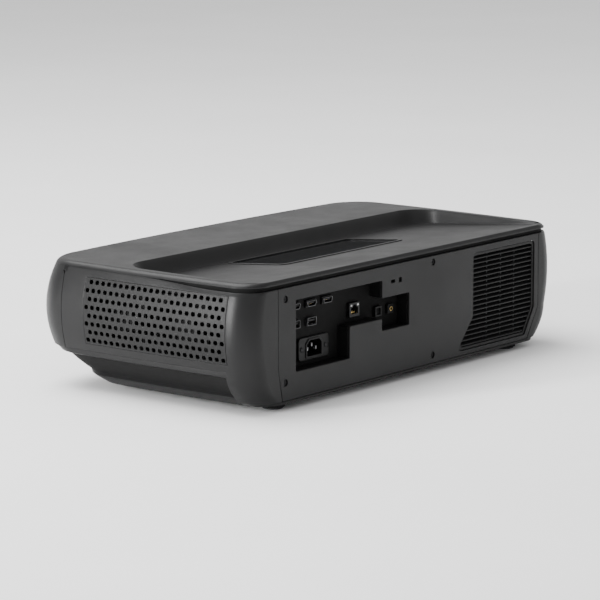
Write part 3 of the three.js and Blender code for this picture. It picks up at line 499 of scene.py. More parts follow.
CAST = plated_metal("cast_aluminium", (0.5, 0.5, 0.51), 0.5)
INFRARED = moulded_plastic("infrared_acrylic", (0.012, 0.003, 0.004), 0.14, grain=400, depth=0.05)
WINDOW = tinted_glass("window_glass", (0.05, 0.052, 0.058))
LENS = tinted_glass("lens_glass", (0.72, 0.82, 0.86), 0.02, 1.0)
COATED = tinted_glass("coated_glass", (0.12, 0.28, 0.6), 0.03, 0.6)
RUBBER = rubber_material("foot_rubber")
CIRCUIT = circuit_material("circuit_board")
CLOTH = cloth_material("speaker_cloth")
MIRROR = mirror_material("mirror_coat")
PHOSPHOR = phosphor_material("phosphor_layer")
LIGHT = light_material("light_guide")

CAD_LOOKS = {
    "shell_plastic": SHELL,
    "deck_plastic": DECK,
    "grille_plastic": GRILLE,
    "window_glass": WINDOW,
    "indicator": LIGHT,
    "black_plastic": BLACK,
    "connector_steel": PLATED,
    "stud_steel": PLATED,
    "cast_aluminium": CAST,
    "circuit_board": CIRCUIT,
    "lens_glass": LENS,
    "mirror_coat": MIRROR,
    "phosphor": PHOSPHOR,
    "coated_glass": COATED,
    "foot_rubber": RUBBER,
}


def dress_cad_nodes():
    """Gives every carried-over CAD node the material of its slot."""
    for entry in frame["record"]["subparts"]:
        node = frame["nodes"][entry["node"]]
        node.data.materials.clear()
        node.data.materials.append(CAD_LOOKS[entry["material_slot"]])


# ---- The shell's curved surface -------------------------------------------------------------

def upper_inset(z):
    """How far the ends and the front lie inside the widest outline, at a height above the ledge."""
    rise = (z - WIDEST_Z) / (HEIGHT - WIDEST_Z)
    edge = min(TOP_EDGE_RADIUS, max(0.0, z - (HEIGHT - TOP_EDGE_RADIUS)))
    rounding = TOP_EDGE_RADIUS - math.sqrt(TOP_EDGE_RADIUS ** 2 - edge ** 2)
    return BULGE * rise * rise + rounding


def rear_rounding(z):
    edge = min(TOP_EDGE_RADIUS, max(0.0, z - (HEIGHT - TOP_EDGE_RADIUS)))
    return 0.4 * (TOP_EDGE_RADIUS - math.sqrt(TOP_EDGE_RADIUS ** 2 - edge ** 2))


def smooth_step(value, low, high):
    t = min(1.0, max(0.0, (value - low) / (high - low)))
    return t * t * (3 - 2 * t)


def groove(z):
    """Depth of the grip groove that runs under the ledge."""
    return GRIP_DEPTH * smooth_step(z, *GRIP_LOW) * (1 - smooth_step(z, *GRIP_HIGH))


def level_at(z, grooved=False):
    """(end inset, front inset) of the shell at a height."""
    if z >= LEDGE_Z:
        inset = upper_inset(z)
        return inset, inset
    drop = (LEDGE_Z - z) / (LEDGE_Z - GROUND_GAP)
    ledge = upper_inset(LEDGE_Z) + (LEDGE_STEP if grooved else 0)
    dent = groove(z) if grooved else 0
    return ledge + BASE_TAPER * drop * drop + dent, ledge + UNDERCUT * drop


def bowed(x, y, z, grooved=False, inward=0.0):
    """The shell's surface point for a point of its unbowed plan outline."""
    end, front = level_at(z, grooved)
    half = HALF_WIDTH - end - inward
    front_y = FRONT_Y + front + inward
    rear_y = REAR_Y - rear_rounding(z) - inward
    middle = (front_y + rear_y) / 2
    across = (y - middle) / (rear_y - middle)
    along = x / half
    bow_x = math.copysign(END_BOW * across * across * min(1.0, abs(along)), x)
    bow_y = FRONT_BOW * along * along * max(0.0, -across)
    return Vector((x - bow_x, y + bow_y, z))


def corner_point(side, rear, t, z, grooved=False, inward=0.0):
    """A point of a vertical corner: t runs from its end side to its front or rear side."""
    end, front = level_at(z, grooved)
    half = HALF_WIDTH - end - inward
    radius = (REAR_RADIUS if rear else FRONT_RADIUS) - inward
    edge = REAR_Y - rear_rounding(z) - inward if rear else FRONT_Y + front + inward
    facing = 1 if rear else -1
    angle = t * math.pi / 2
    x = side * (half - radius + radius * math.cos(angle))
    y = edge - facing * (radius - radius * math.sin(angle))
    return bowed(x, y, z, grooved, inward)


def end_point(side, y, z, grooved=False, inward=0.0):
    """The end's surface at a distance y from front to rear."""
    end, front = level_at(z, grooved)
    half = HALF_WIDTH - end - inward
    front_y = FRONT_Y + front + inward
    rear_y = REAR_Y - rear_rounding(z) - inward
    middle = (front_y + rear_y) / 2
    reach = rear_y - middle
    if y < middle:
        y = (y - FRONT_BOW * middle / reach) / (1 - FRONT_BOW / reach)
    return bowed(side * half, y, z, grooved, inward)


def front_point(x, z, grooved=False, inward=0.0):
    """The front's surface at a distance x from the middle."""
    end, front = level_at(z, grooved)
    half = HALF_WIDTH - end - inward
    return bowed(x / (1 - END_BOW / half), FRONT_Y + front + inward, z, grooved, inward)


def spread(low, high, count):
    return [low + (high - low) * i / count for i in range(count + 1)]


def joined(*runs):
    """Runs of values end to end, without repeating the value where two of them meet."""
    values = list(runs[0])
    for run in runs[1:]:
        values.extend(run[1:] if abs(run[0] - values[-1]) < 1e-9 else run)
    return values


def sheet(name, columns, rows, keep=None):
    """A surface over columns (functions of height) and rows (heights), without the faces not kept."""
    points = [column(z) for z in rows for column in columns]
    width = len(columns)
    faces = []
    for r in range(len(rows) - 1):
        for c in range(width - 1):
            if keep and not keep(c, r):
                continue
            a = r * width + c
            faces.append((a, a + 1, a + 1 + width, a + width))
    mesh = mesh_from(name, points, faces)
    shape = bmesh.new()
    shape.from_mesh(mesh)
    loose = [v for v in shape.verts if not v.link_faces]
    bmesh.ops.delete(shape, geom=loose, context="VERTS")
    shape.to_mesh(mesh)
    shape.free()
    return mesh


def end_columns(side, seam_y, count, grooved=False):
    """Columns along an end, from a seam forward to where the front corner starts."""
    def column(share):
        def at(z):
            start = corner_point(side, False, 0.0, z, grooved).y
            return end_point(side, seam_y + (start - seam_y) * share, z, grooved)
        return at
    return [column(share) for share in spread(0, 1, count)[:-1]]


def corner_columns(side, steps, grooved=False):
    """Columns round a front corner, from its end side to its front side."""
    return [lambda z, t=t: corner_point(side, False, t, z, grooved) for t in spread(0, 1, steps)]


def facing_out(mesh):
    """Turns a sheet over if its faces look towards the middle of the projector."""
    centre = Vector((0, 0, (LEDGE_Z + SEAM_Z) / 2))
    score = sum((f.center - centre).dot(f.normal) * f.area for f in mesh.polygons)
    if score < 0:
        mesh.flip_normals()
    return mesh


def moulding(name, mesh, material, wall=WALL, edge=0.45 * MM):
    """A sheet made into a moulding: given a wall and softened edges."""
    piece = new_object(name, facing_out(mesh), material)
    add_wall(piece, wall)
    if edge:
        add_bevel(piece, edge)
    return settle(piece)


# ---- Perforated panels ----------------------------------------------------------------------

def perforated(name, surface_at, columns, rows, hole_width, hole_height, material, wall=1.6 * MM):
    """A panel of staggered stadium-shaped holes. surface_at maps shares of its sides to points.

    Each hole sits in its own cell. A cell's edge carries eight steps along and four up, so that
    staggered rows still share their points.
    """
    shape = bmesh.new()
    made = {}

    def vertex(u, v):
        key = (round(u * 1e6), round(v * 1e6))
        if key not in made:
            made[key] = shape.verts.new(surface_at(u, v))
        return made[key]

    for row in range(rows):
        shift = 0.5 if row % 2 else 0.0
        low = row / rows
        high = (row + 1) / rows
        count = columns - 1 if shift else columns
        for column in range(count):
            left = (column + shift) / columns
            right = (column + 1 + shift) / columns
            ring = cell_edge(left, right, low, high)
            outer = [vertex(u, v) for u, v in ring]
            inner = [
                shape.verts.new(surface_at(u, v))
                for u, v in stadium(left, right, low, high, hole_width, hole_height)
            ]
            for i in range(len(ring)):
                k = (i + 1) % len(ring)
                shape.faces.new((outer[i], outer[k], inner[k], inner[i]))
        if shift:
            for start in (0.0, 1 - 0.5 / columns):
                fill_half_cell(shape, vertex, start, 0.5 / columns, low, high)
    return moulding(name, taken(name, shape), material, wall, 0)


def cell_edge(left, right, low, high):
    """24 points round a cell: eight steps along its top and bottom, four up its sides."""
    width = right - left
    height = high - low
    points = [(left + width * i / 8, low) for i in range(8)]
    points += [(right, low + height * i / 4) for i in range(4)]
    points += [(right - width * i / 8, high) for i in range(8)]
    points += [(left, high - height * i / 4) for i in range(4)]
    return points


def stadium(left, right, low, high, share_wide, share_high):
    """24 points round a slot with round ends, in the middle of a cell."""
    points = []
    for u, v in cell_edge(-1, 1, -1, 1):
        x = u * share_wide
        round_end = min(1.0, max(0.0, (abs(u) - 0.45) / 0.55))
        y = math.copysign(share_high * math.sqrt(1 - 0.72 * round_end ** 2), v)
        if abs(u) > 0.99:
            y = v * share_high * 0.55
            x = math.copysign(share_wide * (1 - 0.18 * v * v), u)
        across = (left + right) / 2 + x * (right - left) / 2
        points.append((across, (low + high) / 2 + y * (high - low) / 2))
    return points


def fill_half_cell(shape, vertex, start, width, low, high):
    """The plain end of a staggered row."""
    for i in range(4):
        left = start + width * i / 4
        right = start + width * (i + 1) / 4
        if i in (0, 3):
            side = left if i == 0 else right
            other = right if i == 0 else left
            middle = [vertex(side, low + (high - low) * k / 4) for k in range(5)]
            ends = [vertex(other, low), vertex(other, high)]
            loop = [ends[0], *middle, ends[1]]
            if i == 0:
                loop.reverse()
        else:
            loop = [vertex(left, low), vertex(right, low), vertex(right, high), vertex(left, high)]
        shape.faces.new(loop)


# ---- End covers and their grilles -----------------------------------------------------------

def shadow_line(y):
    """Height of the seam groove under the top cover: open at the rear, closing towards the front."""
    return SHADOW_GAP * smooth_step(y, *SHADOW_RUN)


def rear_seam_x(side, z):
    """Where the rear panel meets the end cover, which leans in below the ledge."""
    panel_low, panel_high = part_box("rear_panel")
    edge = panel_high.x if side > 0 else -panel_low.x
    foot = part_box("end_cover_right")[0].x
    if z < LEDGE_Z:
        share = (LEDGE_Z - z) / (LEDGE_Z - panel_low.z)
        edge += (foot - edge) * share
    return side * (edge + HAIRLINE)


def end_cover(side, name):
    """An end of the upper shell with its full-height rear corner."""
    grille = "end_grille_right" if side > 0 else "end_grille_left"
    low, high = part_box(grille)
    low_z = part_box("end_cover_right")[0].z
    corner_y = REAR_Y - REAR_RADIUS
    ys = joined(
        spread(FRONT_SEAM_Y, low.y - HAIRLINE, 6),
        spread(low.y - HAIRLINE, POST_Y, 22),
        [POST_Y, high.y + HAIRLINE, corner_y],
    )
    columns = [lambda z, y=y: end_point(side, y, z) for y in ys]
    columns += [lambda z, t=t: corner_point(side, True, t, z) for t in spread(0, 1, 12)[1:]]
    columns += [lambda z: Vector((rear_seam_x(side, z), REAR_Y, z))]
    top = SEAM_Z - HAIRLINE
    rows = joined(
        spread(low_z, LEDGE_Z, 8),
        [LEDGE_Z, low.z - HAIRLINE],
        spread(low.z - HAIRLINE, high.z + HAIRLINE, 14),
        spread(high.z + HAIRLINE, top, 3),
    )
    first_post = next(i for i, y in enumerate(ys) if y >= POST_Y - NEAR)

    def keep(c, r):
        if rows[r] < LEDGE_Z - NEAR:
            return c >= first_post
        beside = c < len(ys) - 1 and low.y - HAIRLINE - NEAR <= ys[c] < high.y
        return not (beside and low.z - HAIRLINE - NEAR <= rows[r] < high.z)

    mesh = sheet(name, columns, rows, keep)
    foot = high.z + HAIRLINE
    for point in mesh.vertices:
        share = max(0.0, (point.co.z - foot) / (top - foot))
        point.co.z -= shadow_line(point.co.y) * share
    return merged(name, [moulding("outer", mesh, SHELL), post_wall(side, low_z)])


def post_wall(side, foot_z):
    """The post's face towards the front, which closes the step between the post and the base."""
    def at(z, share):
        inner = end_point(side, POST_Y, z, True) - Vector((side * 3 * MM, 0, 0))
        outer = end_point(side, POST_Y, z) - Vector((side * 0.4 * MM, 0, 0))
        return inner.lerp(outer, share) + Vector((0, WALL, 0))

    columns = [lambda z, share=share: at(z, share) for share in spread(0, 1, 6)]
    return moulding("post_wall", sheet("post_wall", columns, spread(foot_z, LEDGE_Z, 12)), SHELL, WALL, 0)


def end_grille(side, name):
    low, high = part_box(name)

    def surface_at(u, v):
        return end_point(side, low.y + (high.y - low.y) * u, low.z + (high.z - low.z) * v)

    columns = round((high.y - low.y) / (8.4 * MM))
    return perforated(name + "_panel", surface_at, columns, 8, 0.66, 0.52, GRILLE)


def make_ends():
    for side, word in ((1, "right"), (-1, "left")):
        cover = end_cover(side, f"end_cover_{word}_shell")
        if side < 0:
            cut_button_hole(cover)
        place(cover, slot="shell_plastic", replaces=[f"end_cover_{word}"])
        panel = end_grille(side, f"end_grille_{word}")
        place(panel, slot="grille_plastic", replaces=[f"end_grille_{word}"])


def cut_with(piece, cutter):
    """Cuts one piece out of another and throws the cutter away."""
    cut = piece.modifiers.new("cut", "BOOLEAN")
    cut.operation = "DIFFERENCE"
    cut.solver = "EXACT"
    cut.object = cutter
    settle(piece)
    discard(cutter)


def cut_button_hole(cover):
    """The round hole in the left-hand end cover that the power button moves in."""
    low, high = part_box("power_button")
    centre = (low + high) / 2
    radius = (high.z - low.z) / 2 + 0.35 * MM
    cutter = turned(
        "button_cutter",
        [(0, -0.03), (radius, -0.03), (radius, 0.03), (0, 0.03)],
        "x",
        Vector((low.x, centre.y, centre.z)),
        SHELL,
    )
    cut_with(cover, cutter)


# ---- Front fascia ---------------------------------------------------------------------------

def front_fascia():
    """The front of the upper shell, open for the grille, the infrared window and the status light."""
    grille_low, grille_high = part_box("front_grille")
    seam = FRONT_SEAM_Y - HAIRLINE
    columns = end_columns(1, seam, 3) + corner_columns(1, 14)
    first = len(columns)
    edge = grille_high.x + HAIRLINE
    xs = spread(edge, -edge, 40)
    columns += [lambda z, x=x: front_point(x, z) for x in xs]
    columns += [*reversed(corner_columns(-1, 14)), *reversed(end_columns(-1, seam, 3))]
    rows = joined(
        spread(LEDGE_Z, grille_low.z - HAIRLINE, 4),
        spread(grille_low.z - HAIRLINE, grille_high.z + HAIRLINE, 10),
        spread(grille_high.z + HAIRLINE, SEAM_Z - HAIRLINE, 5),
    )
    def keep(c, r):
        beside = first <= c < first + len(xs) - 1
        return not (beside and grille_low.z - HAIRLINE - NEAR <= rows[r] < grille_high.z)

    fascia = moulding("front_fascia_shell", sheet("fascia", columns, rows, keep), SHELL)
    for node in ("infrared_window", "status_light"):
        low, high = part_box(node)
        middle = (low + high) / 2
        outline = rectangle(middle.x, middle.z, high.x - low.x + 2 * HAIRLINE, high.z - low.z + 2 * HAIRLINE)
        cutter = plate("slot_cutter", [rounded(outline, 1.4 * MM)], "y",
                       low.y - 0.02, high.y + 0.01, 0.01 * MM, SHELL, 0)
        cut_with(fascia, cutter)
    place(fascia, slot="shell_plastic", replaces=["front_fascia"])


def front_inserts():
    """The infrared window and the status light, which follow the fascia's curve."""
    small_windows = (("infrared_window", INFRARED, "window_glass"), ("status_light", LIGHT, "indicator"))
    for node, look, slot in small_windows:
        low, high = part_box(node)
        xs = spread(low.x, high.x, 12)
        columns = [lambda z, x=x: front_point(x, z) - Vector((0, 0.6 * MM, 0)) for x in xs]
        mesh = sheet(node, columns, spread(low.z, high.z, 6))
        piece = moulding(node + "_lens", mesh, look, 2.0 * MM, 0.5 * MM)
        place(piece, slot=slot, replaces=[node])


def front_grille():
    low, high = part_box("front_grille")

    def surface_at(u, v):
        return front_point(low.x + (high.x - low.x) * u, low.z + (high.z - low.z) * v)

    panel = perforated("front_grille_panel", surface_at, 60, 9, 0.62, 0.6, GRILLE, 1.2 * MM)
    place(panel, slot="grille_plastic", replaces=["front_grille"])


# ---- Base -----------------------------------------------------------------------------------

def base_tray():
    """The base's flanks, with the groove along the ends, and its floor."""
    rear_edge = POST_Y - HAIRLINE

    def front_column(share):
        def at(z):
            right = corner_point(1, False, 1.0, z, True)
            left = corner_point(-1, False, 1.0, z, True)
            return front_point(right.x + (left.x - right.x) * share, z, True)
        return at

    columns = end_columns(1, rear_edge, 20, True) + corner_columns(1, 12, True)
    columns += [front_column(share) for share in spread(0, 1, 24)[1:-1]]
    columns += [*reversed(corner_columns(-1, 12, True)), *reversed(end_columns(-1, rear_edge, 20, True))]
    rows = joined(
        spread(GROUND_GAP, GRIP_LOW[0], 4),
        spread(*GRIP_LOW, 5),
        spread(GRIP_LOW[1], GRIP_HIGH[0], 5),
        spread(*GRIP_HIGH, 5),
        spread(GRIP_HIGH[1], LEDGE_Z - HAIRLINE, 3),
    )
    flanks = sheet("base_flanks", columns, rows)
    shape = bmesh.new()
    shape.from_mesh(flanks)
    add_base_floor(shape, len(columns))
    mesh = taken("base_tray_shell", shape)
    piece = new_object("base_tray_shell", mesh, BASE)
    fix_base_normals(mesh)
    # Faces in the grip groove's height band take the near-black material: painted shade in the groove.
    mesh.materials.append(GROOVE_PAINTED_SHADE)
    for face in mesh.polygons:
        if 19.5 * MM < face.center.z < 39.5 * MM:
            face.material_index = 1
    add_wall(piece)
    add_bevel(piece, 0.5 * MM)
    settle(piece)
    place(piece, slot="shell_plastic", replaces=["base_tray"])


def fix_base_normals(mesh):
    """Turns the base's faces outward, judged by its floor, which has to look down."""
    shape = bmesh.new()
    shape.from_mesh(mesh)
    bmesh.ops.recalc_face_normals(shape, faces=shape.faces)
    shape.faces.ensure_lookup_table()
    lowest = min(shape.faces, key=lambda f: f.calc_center_median().z)
    if lowest.normal.z > 0:
        bmesh.ops.reverse_faces(shape, faces=shape.faces)
    shape.to_mesh(mesh)
    shape.free()


def add_base_floor(shape, width):
    """Closes the underside, with the rear corners that carry the posts."""
    shape.verts.ensure_lookup_table()
    bottom = [shape.verts[i] for i in range(width)]
    rear = []
    for t in spread(0, 1, 8):
        rear.append(shape.verts.new(corner_point(-1, True, t, GROUND_GAP, True)))
    for t in reversed(spread(0, 1, 8)):
        rear.append(shape.verts.new(corner_point(1, True, t, GROUND_GAP, True)))
    shape.faces.new([*bottom, *rear])


def underside_details():
    """The slotted intake grid under the base, and two small rubber bumpers."""
    floor = GROUND_GAP
    slots = []
    for column in range(14):
        x = (-78 + 12 * column) * MM
        slots.append(rounded(rectangle(x, 18 * MM, 5 * MM, 60 * MM), 2.4 * MM))
    frame_outline = rounded(rectangle(0, 18 * MM, 182 * MM, 76 * MM), 6 * MM)
    grid = plate("base_intake_grid", [frame_outline, *slots], "z",
                 floor - 1.2 * MM, floor - 0.05 * MM, 0.3 * MM, VENT)
    place(grid, slot="shell_plastic")
    for side, word in ((1, "right"), (-1, "left")):
        place(bumper_piece(side, word, floor), slot="foot_rubber")


def bumper_piece(side, word, floor):
    profile = [
        (0, 0),
        (5 * MM, 0),
        (6.4 * MM, 0.5 * MM),
        (7 * MM, 1.6 * MM),
        (7 * MM, 3.4 * MM),
        (0, 3.4 * MM),
    ]
    centre = Vector((side * 0.169, 0.137, floor - 3.45 * MM))
    return turned(f"rear_bumper_{word}", profile, "z", centre, RUBBER)


# ---- Top cover, deck and window -------------------------------------------------------------

def outline_ring(z, inward, steps=16):
    """The whole plan outline at a height, anticlockwise from the right rear corner."""
    ring = []
    ring += [corner_point(1, True, t, z, inward=inward) for t in spread(0, 1, steps)]
    right = ring[-1].x
    ring += [Vector((x, REAR_Y - rear_rounding(z) - inward, z)) for x in spread(right, -right, 40)[1:-1]]
    ring += [corner_point(-1, True, t, z, inward=inward) for t in reversed(spread(0, 1, steps))]
    start = ring[-1].y
    stop = corner_point(-1, False, 0, z, inward=inward).y
    ring += [end_point(-1, y, z, inward=inward) for y in spread(start, stop, 20)[1:-1]]
    ring += [corner_point(-1, False, t, z, inward=inward) for t in spread(0, 1, steps)]
    left = ring[-1].x
    ring += [front_point(x, z, inward=inward) for x in spread(left, -left, 40)[1:-1]]
    ring += [corner_point(1, False, t, z, inward=inward) for t in reversed(spread(0, 1, steps))]
    ring += [end_point(1, y, z, inward=inward) for y in spread(stop, start, 20)[1:-1]]
    return ring


def deck_ring(shrink, steps=12):
    """The deck's plan outline: large round corners at the front, small ones at the rear."""
    low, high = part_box("top_deck")
    half = high.x + HAIRLINE - shrink
    front = low.y - HAIRLINE + shrink
    rear = high.y + HAIRLINE - shrink
    small = DECK_REAR_RADIUS - min(shrink, DECK_REAR_RADIUS * 0.6)
    large = DECK_RADIUS - shrink
    ring = []
    for cx, cy, radius, start in (
        (half, rear, small, 0),
        (-half, rear, small, 1),
        (-half, front, large, 2),
        (half, front, large, 3),
    ):
        for t in spread(0, 1, steps):
            angle = (start + t) * math.pi / 2
            x = cx - math.copysign(radius, cx) + radius * math.cos(angle)
            y = cy - (radius if start < 2 else -radius) + radius * math.sin(angle)
            ring.append((x, y))
    return densified(ring, 6 * MM)


def densified(ring, longest):
    """An outline with its long straight sides split up."""
    done = []
    for i, here in enumerate(ring):
        after = ring[(i + 1) % len(ring)]
        gap = (Vector(after) - Vector(here)).length
        parts = max(1, math.ceil(gap / longest))
        for k in range(parts):
            t = k / parts
            done.append((here[0] * (1 - t) + after[0] * t, here[1] * (1 - t) + after[1] * t))
    return done


def skin(shape, rings):
    """Faces between closed rings of equal length. Returns the vertices of the last ring."""
    made = [[shape.verts.new(p) for p in ring] for ring in rings]
    for lower, upper in zip(made, made[1:]):
        count = len(lower)
        for i in range(count):
            k = (i + 1) % count
            shape.faces.new((lower[i], lower[k], upper[k], upper[i]))
    return made


def fill_between(shape, outer, inner):
    """Fills a flat region between two closed loops of vertices."""
    edges = []
    for loop in (outer, inner):
        for i in range(len(loop)):
            pair = (loop[i], loop[(i + 1) % len(loop)])
            edges.append(shape.edges.get(pair) or shape.edges.new(pair))
    bmesh.ops.triangle_fill(shape, use_beauty=True, use_dissolve=False, edges=edges)


def top_cover():
    """The upper cover: its rounded edge, its flat top round the deck, and its underside."""
    shape = bmesh.new()
    arc = [math.sin(a) for a in spread(0, math.pi / 2, 9)]
    heights = [SEAM_Z] + [HEIGHT - TOP_EDGE_RADIUS + TOP_EDGE_RADIUS * s for s in arc]
    heights = sorted(set(round(z, 6) for z in heights))
    rings = [outline_ring(z, 0) for z in heights]
    for point in rings[0]:
        point.z += shadow_line(point.y) * 0.35
    support = [Vector((p.x * 0.996, p.y - 0.4 * MM * (1 if p.y > 0 else -1), HEIGHT)) for p in rings[-1]]
    made = skin(shape, [*rings, support])
    lip = 1.0 * MM
    edge = [Vector((x, y, HEIGHT)) for x, y in deck_ring(-lip * 1.4)]
    soft = [Vector((x, y, HEIGHT)) for x, y in deck_ring(-lip)]
    soft2 = [Vector((x, y, HEIGHT - 0.3 * MM)) for x, y in deck_ring(-lip * 0.3)]
    soft3 = [Vector((x, y, HEIGHT - lip)) for x, y in deck_ring(0)]
    wall = [Vector((x, y, SEAM_Z + 1.5 * MM)) for x, y in deck_ring(0)]
    inner = skin(shape, [edge, soft, soft2, soft3, wall])
    fill_between(shape, made[-1], inner[0])
    under_outer = [Vector(p) for p in outline_ring(SEAM_Z, WALL + 1 * MM)]
    for point in under_outer:
        point.z = SEAM_Z + 1.5 * MM
    inner_ring = outline_ring(SEAM_Z, WALL + 1 * MM)
    under_low = [Vector((p.x, p.y, SEAM_Z + shadow_line(p.y) * 0.35)) for p in inner_ring]
    under = skin(shape, [under_outer, under_low])
    fill_between(shape, under[0], inner[-1])
    close_strip(shape, under[-1], made[0])
    bmesh.ops.recalc_face_normals(shape, faces=shape.faces)
    piece = settle(new_object("top_cover_shell", clean(taken("top_cover_shell", shape)), SHELL))
    place(piece, slot="shell_plastic", replaces=["top_cover"])


def close_strip(shape, a, b):
    for i in range(len(a)):
        k = (i + 1) % len(a)
        shape.faces.new((a[i], a[k], b[k], b[i]))


def deck_floor_z(y):
    """Height of the deck's floor, which rises towards the rear."""
    low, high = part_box("top_deck")
    foot = low.y + DECK_WALL_RUN
    share = (y - foot) / (high.y - foot)
    return HEIGHT - DECK_DEPTH + (DECK_DEPTH - DECK_REAR_DEPTH) * share


def window_outline(grow):
    low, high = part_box("projection_window")
    middle = (low.y + high.y) / 2
    wide = rectangle(0, middle, 2 * (high.x + grow), high.y - low.y + 2 * grow)
    return rounded(wide, 9 * MM + grow, 8)


def deck_drop(t):
    """Share of the deck wall's drop at a share of its run, with soft ends."""
    return smooth_step(t, 0, 1) * 0.55 + t * 0.45


def deck():
    """The sunken deck: a steep front wall and a floor that rises to the rear."""
    shape = bmesh.new()
    top = HEIGHT - 0.7 * MM
    rings = []
    base_ring = deck_ring(HAIRLINE)
    inward = inward_normals(base_ring)
    for t in spread(0, 1, 10):
        ring = []
        for (x, y), (nx, ny) in zip(base_ring, inward):
            run = 2.5 * MM + (DECK_WALL_RUN - 2.5 * MM) * max(0.0, ny)
            px = x + nx * run * t
            py = y + ny * run * t
            ring.append(Vector((px, py, top + (deck_floor_z(py) - top) * deck_drop(t))))
        rings.append(ring)
    last = []
    for (x, y), (nx, ny) in zip(base_ring, inward):
        reach = 4.5 * MM + (DECK_WALL_RUN - 2.5 * MM) * max(0.0, ny)
        px = x + nx * reach
        py = y + ny * reach
        last.append(Vector((px, py, deck_floor_z(py))))
    made = skin(shape, [*rings, last])
    hole = [Vector((x, y, deck_floor_z(y))) for x, y in densified(window_outline(0.5 * MM), 8 * MM)]
    edge = [Vector((x, y, deck_floor_z(y) - 3 * MM)) for x, y in densified(window_outline(0.5 * MM), 8 * MM)]
    inner = skin(shape, [hole, edge])
    fill_between(shape, made[-1], inner[0])
    bmesh.ops.recalc_face_normals(shape, faces=shape.faces)
    mesh = taken("top_deck_shell", shape)
    up = sum(f.normal.z * f.area for f in mesh.polygons)
    if up < 0:
        mesh.flip_normals()
    piece = new_object("top_deck_shell", mesh, DECK)
    add_wall(piece, 2 * MM)
    settle(piece)
    place(piece, slot="deck_plastic", replaces=["top_deck"])


def inward_normals(ring):
    """Unit vectors that point into a plan outline, one for each of its points."""
    done = []
    count = len(ring)
    turn = winding(ring)
    for i in range(count):
        before = Vector(ring[i - 1])
        after = Vector(ring[(i + 1) % count])
        along = (after - before).normalized()
        done.append((-along.y * turn, along.x * turn))
    return done


def tilt_to_deck(piece, lift):
    """Shears a flat piece, made at height 0, onto the deck's floor."""
    for point in piece.data.vertices:
        point.co.z += deck_floor_z(point.co.y) + lift
    piece.data.update()
    return piece


def window_pieces():
    """The glass, its black border and a raised bezel round it."""
    glass = plate("window_pane", [window_outline(0)], "z", -2.4 * MM, 0, 0.5 * MM, WINDOW)
    place(tilt_to_deck(glass, -0.5 * MM), slot="window_glass", replaces=["projection_window"])
    border = plate(
        "window_border", [window_outline(-0.5 * MM), window_outline(-9 * MM)], "z",
        -3.2 * MM, -2.5 * MM, 0.1 * MM, DULL_BLACK
    )
    place(tilt_to_deck(border, -0.5 * MM), slot="black_plastic")
    bezel = plate(
        "window_bezel", [window_outline(5 * MM), window_outline(0.6 * MM)], "z",
        0, 0.9 * MM, 0.4 * MM, DECK, 3
    )
    place(tilt_to_deck(bezel, 0.02 * MM), slot="deck_plastic")


def beam_shroud():
    """A dull black funnel from the window down to the optics."""
    shape = bmesh.new()
    upper = [Vector((x, y, deck_floor_z(y) - 4 * MM)) for x, y in densified(window_outline(-1 * MM), 10 * MM)]
    lower = [Vector((p.x * 0.93, p.y * 0.94 - 1 * MM, 112.5 * MM)) for p in upper]
    skin(shape, [upper, lower])
    piece = new_object("beam_shroud", taken("beam_shroud", shape), DULL_BLACK)
    add_wall(piece, 1.2 * MM)
    settle(piece)
    place(piece, slot="black_plastic")


# ---- Rear panel, bay and vent ---------------------------------------------------------------

BAY_STEP_X = 51 * MM
BAY_LOW_Z = 73 * MM
BAY_STEP_LOW_Z = 60 * MM
BAY_STEP_HIGH_Z = 95 * MM
INLET_RIGHT_X = 107 * MM
BAY_WALL = 2 * MM
VENT_LEFT_X = -113 * MM
VENT_PITCH = 5.2 * MM
LOUVRE_DEPTH = 4.6 * MM
LOUVRE_RISE = 2.6 * MM
LOUVRE_THICKNESS = 1.1 * MM


def bay_outline(grow):
    """The stepped outline of the connector bay's mouth."""
    low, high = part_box("connector_bay")
    left = high.x - BAY_WALL
    right = low.x + BAY_WALL
    top = high.z - BAY_WALL
    bottom = low.z + BAY_WALL
    return [
        (right - grow, BAY_STEP_LOW_Z - grow),
        (BAY_STEP_X + grow, BAY_STEP_LOW_Z - grow),
        (BAY_STEP_X + grow, BAY_LOW_Z - grow),
        (INLET_RIGHT_X - grow, BAY_LOW_Z - grow),
        (INLET_RIGHT_X - grow, bottom - grow),
        (left + grow, bottom - grow),
        (left + grow, top + grow),
        (BAY_STEP_X - grow, top + grow),
        (BAY_STEP_X - grow, BAY_STEP_HIGH_Z + grow),
        (right - grow, BAY_STEP_HIGH_Z + grow),
    ]


def vent_outline(grow):
    """The exhaust vent's outline: its outer edge leans with the base, its inner one flares."""
    low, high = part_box("rear_vent_grille")
    right = low.x - HAIRLINE - grow
    left = VENT_LEFT_X + grow
    bottom = low.z - HAIRLINE - grow
    top = high.z + HAIRLINE + grow
    return [
        (right, LEDGE_Z),
        (right + 18 * MM, bottom),
        (left + 30 * MM, bottom),
        (left, 52 * MM),
        (left, top),
        (right, top),
    ]


SCREW_SPOTS = [(214, 117), (214, 30), (-40, 122), (-40, 20)]
LOCK_SLOT = (32, 111)


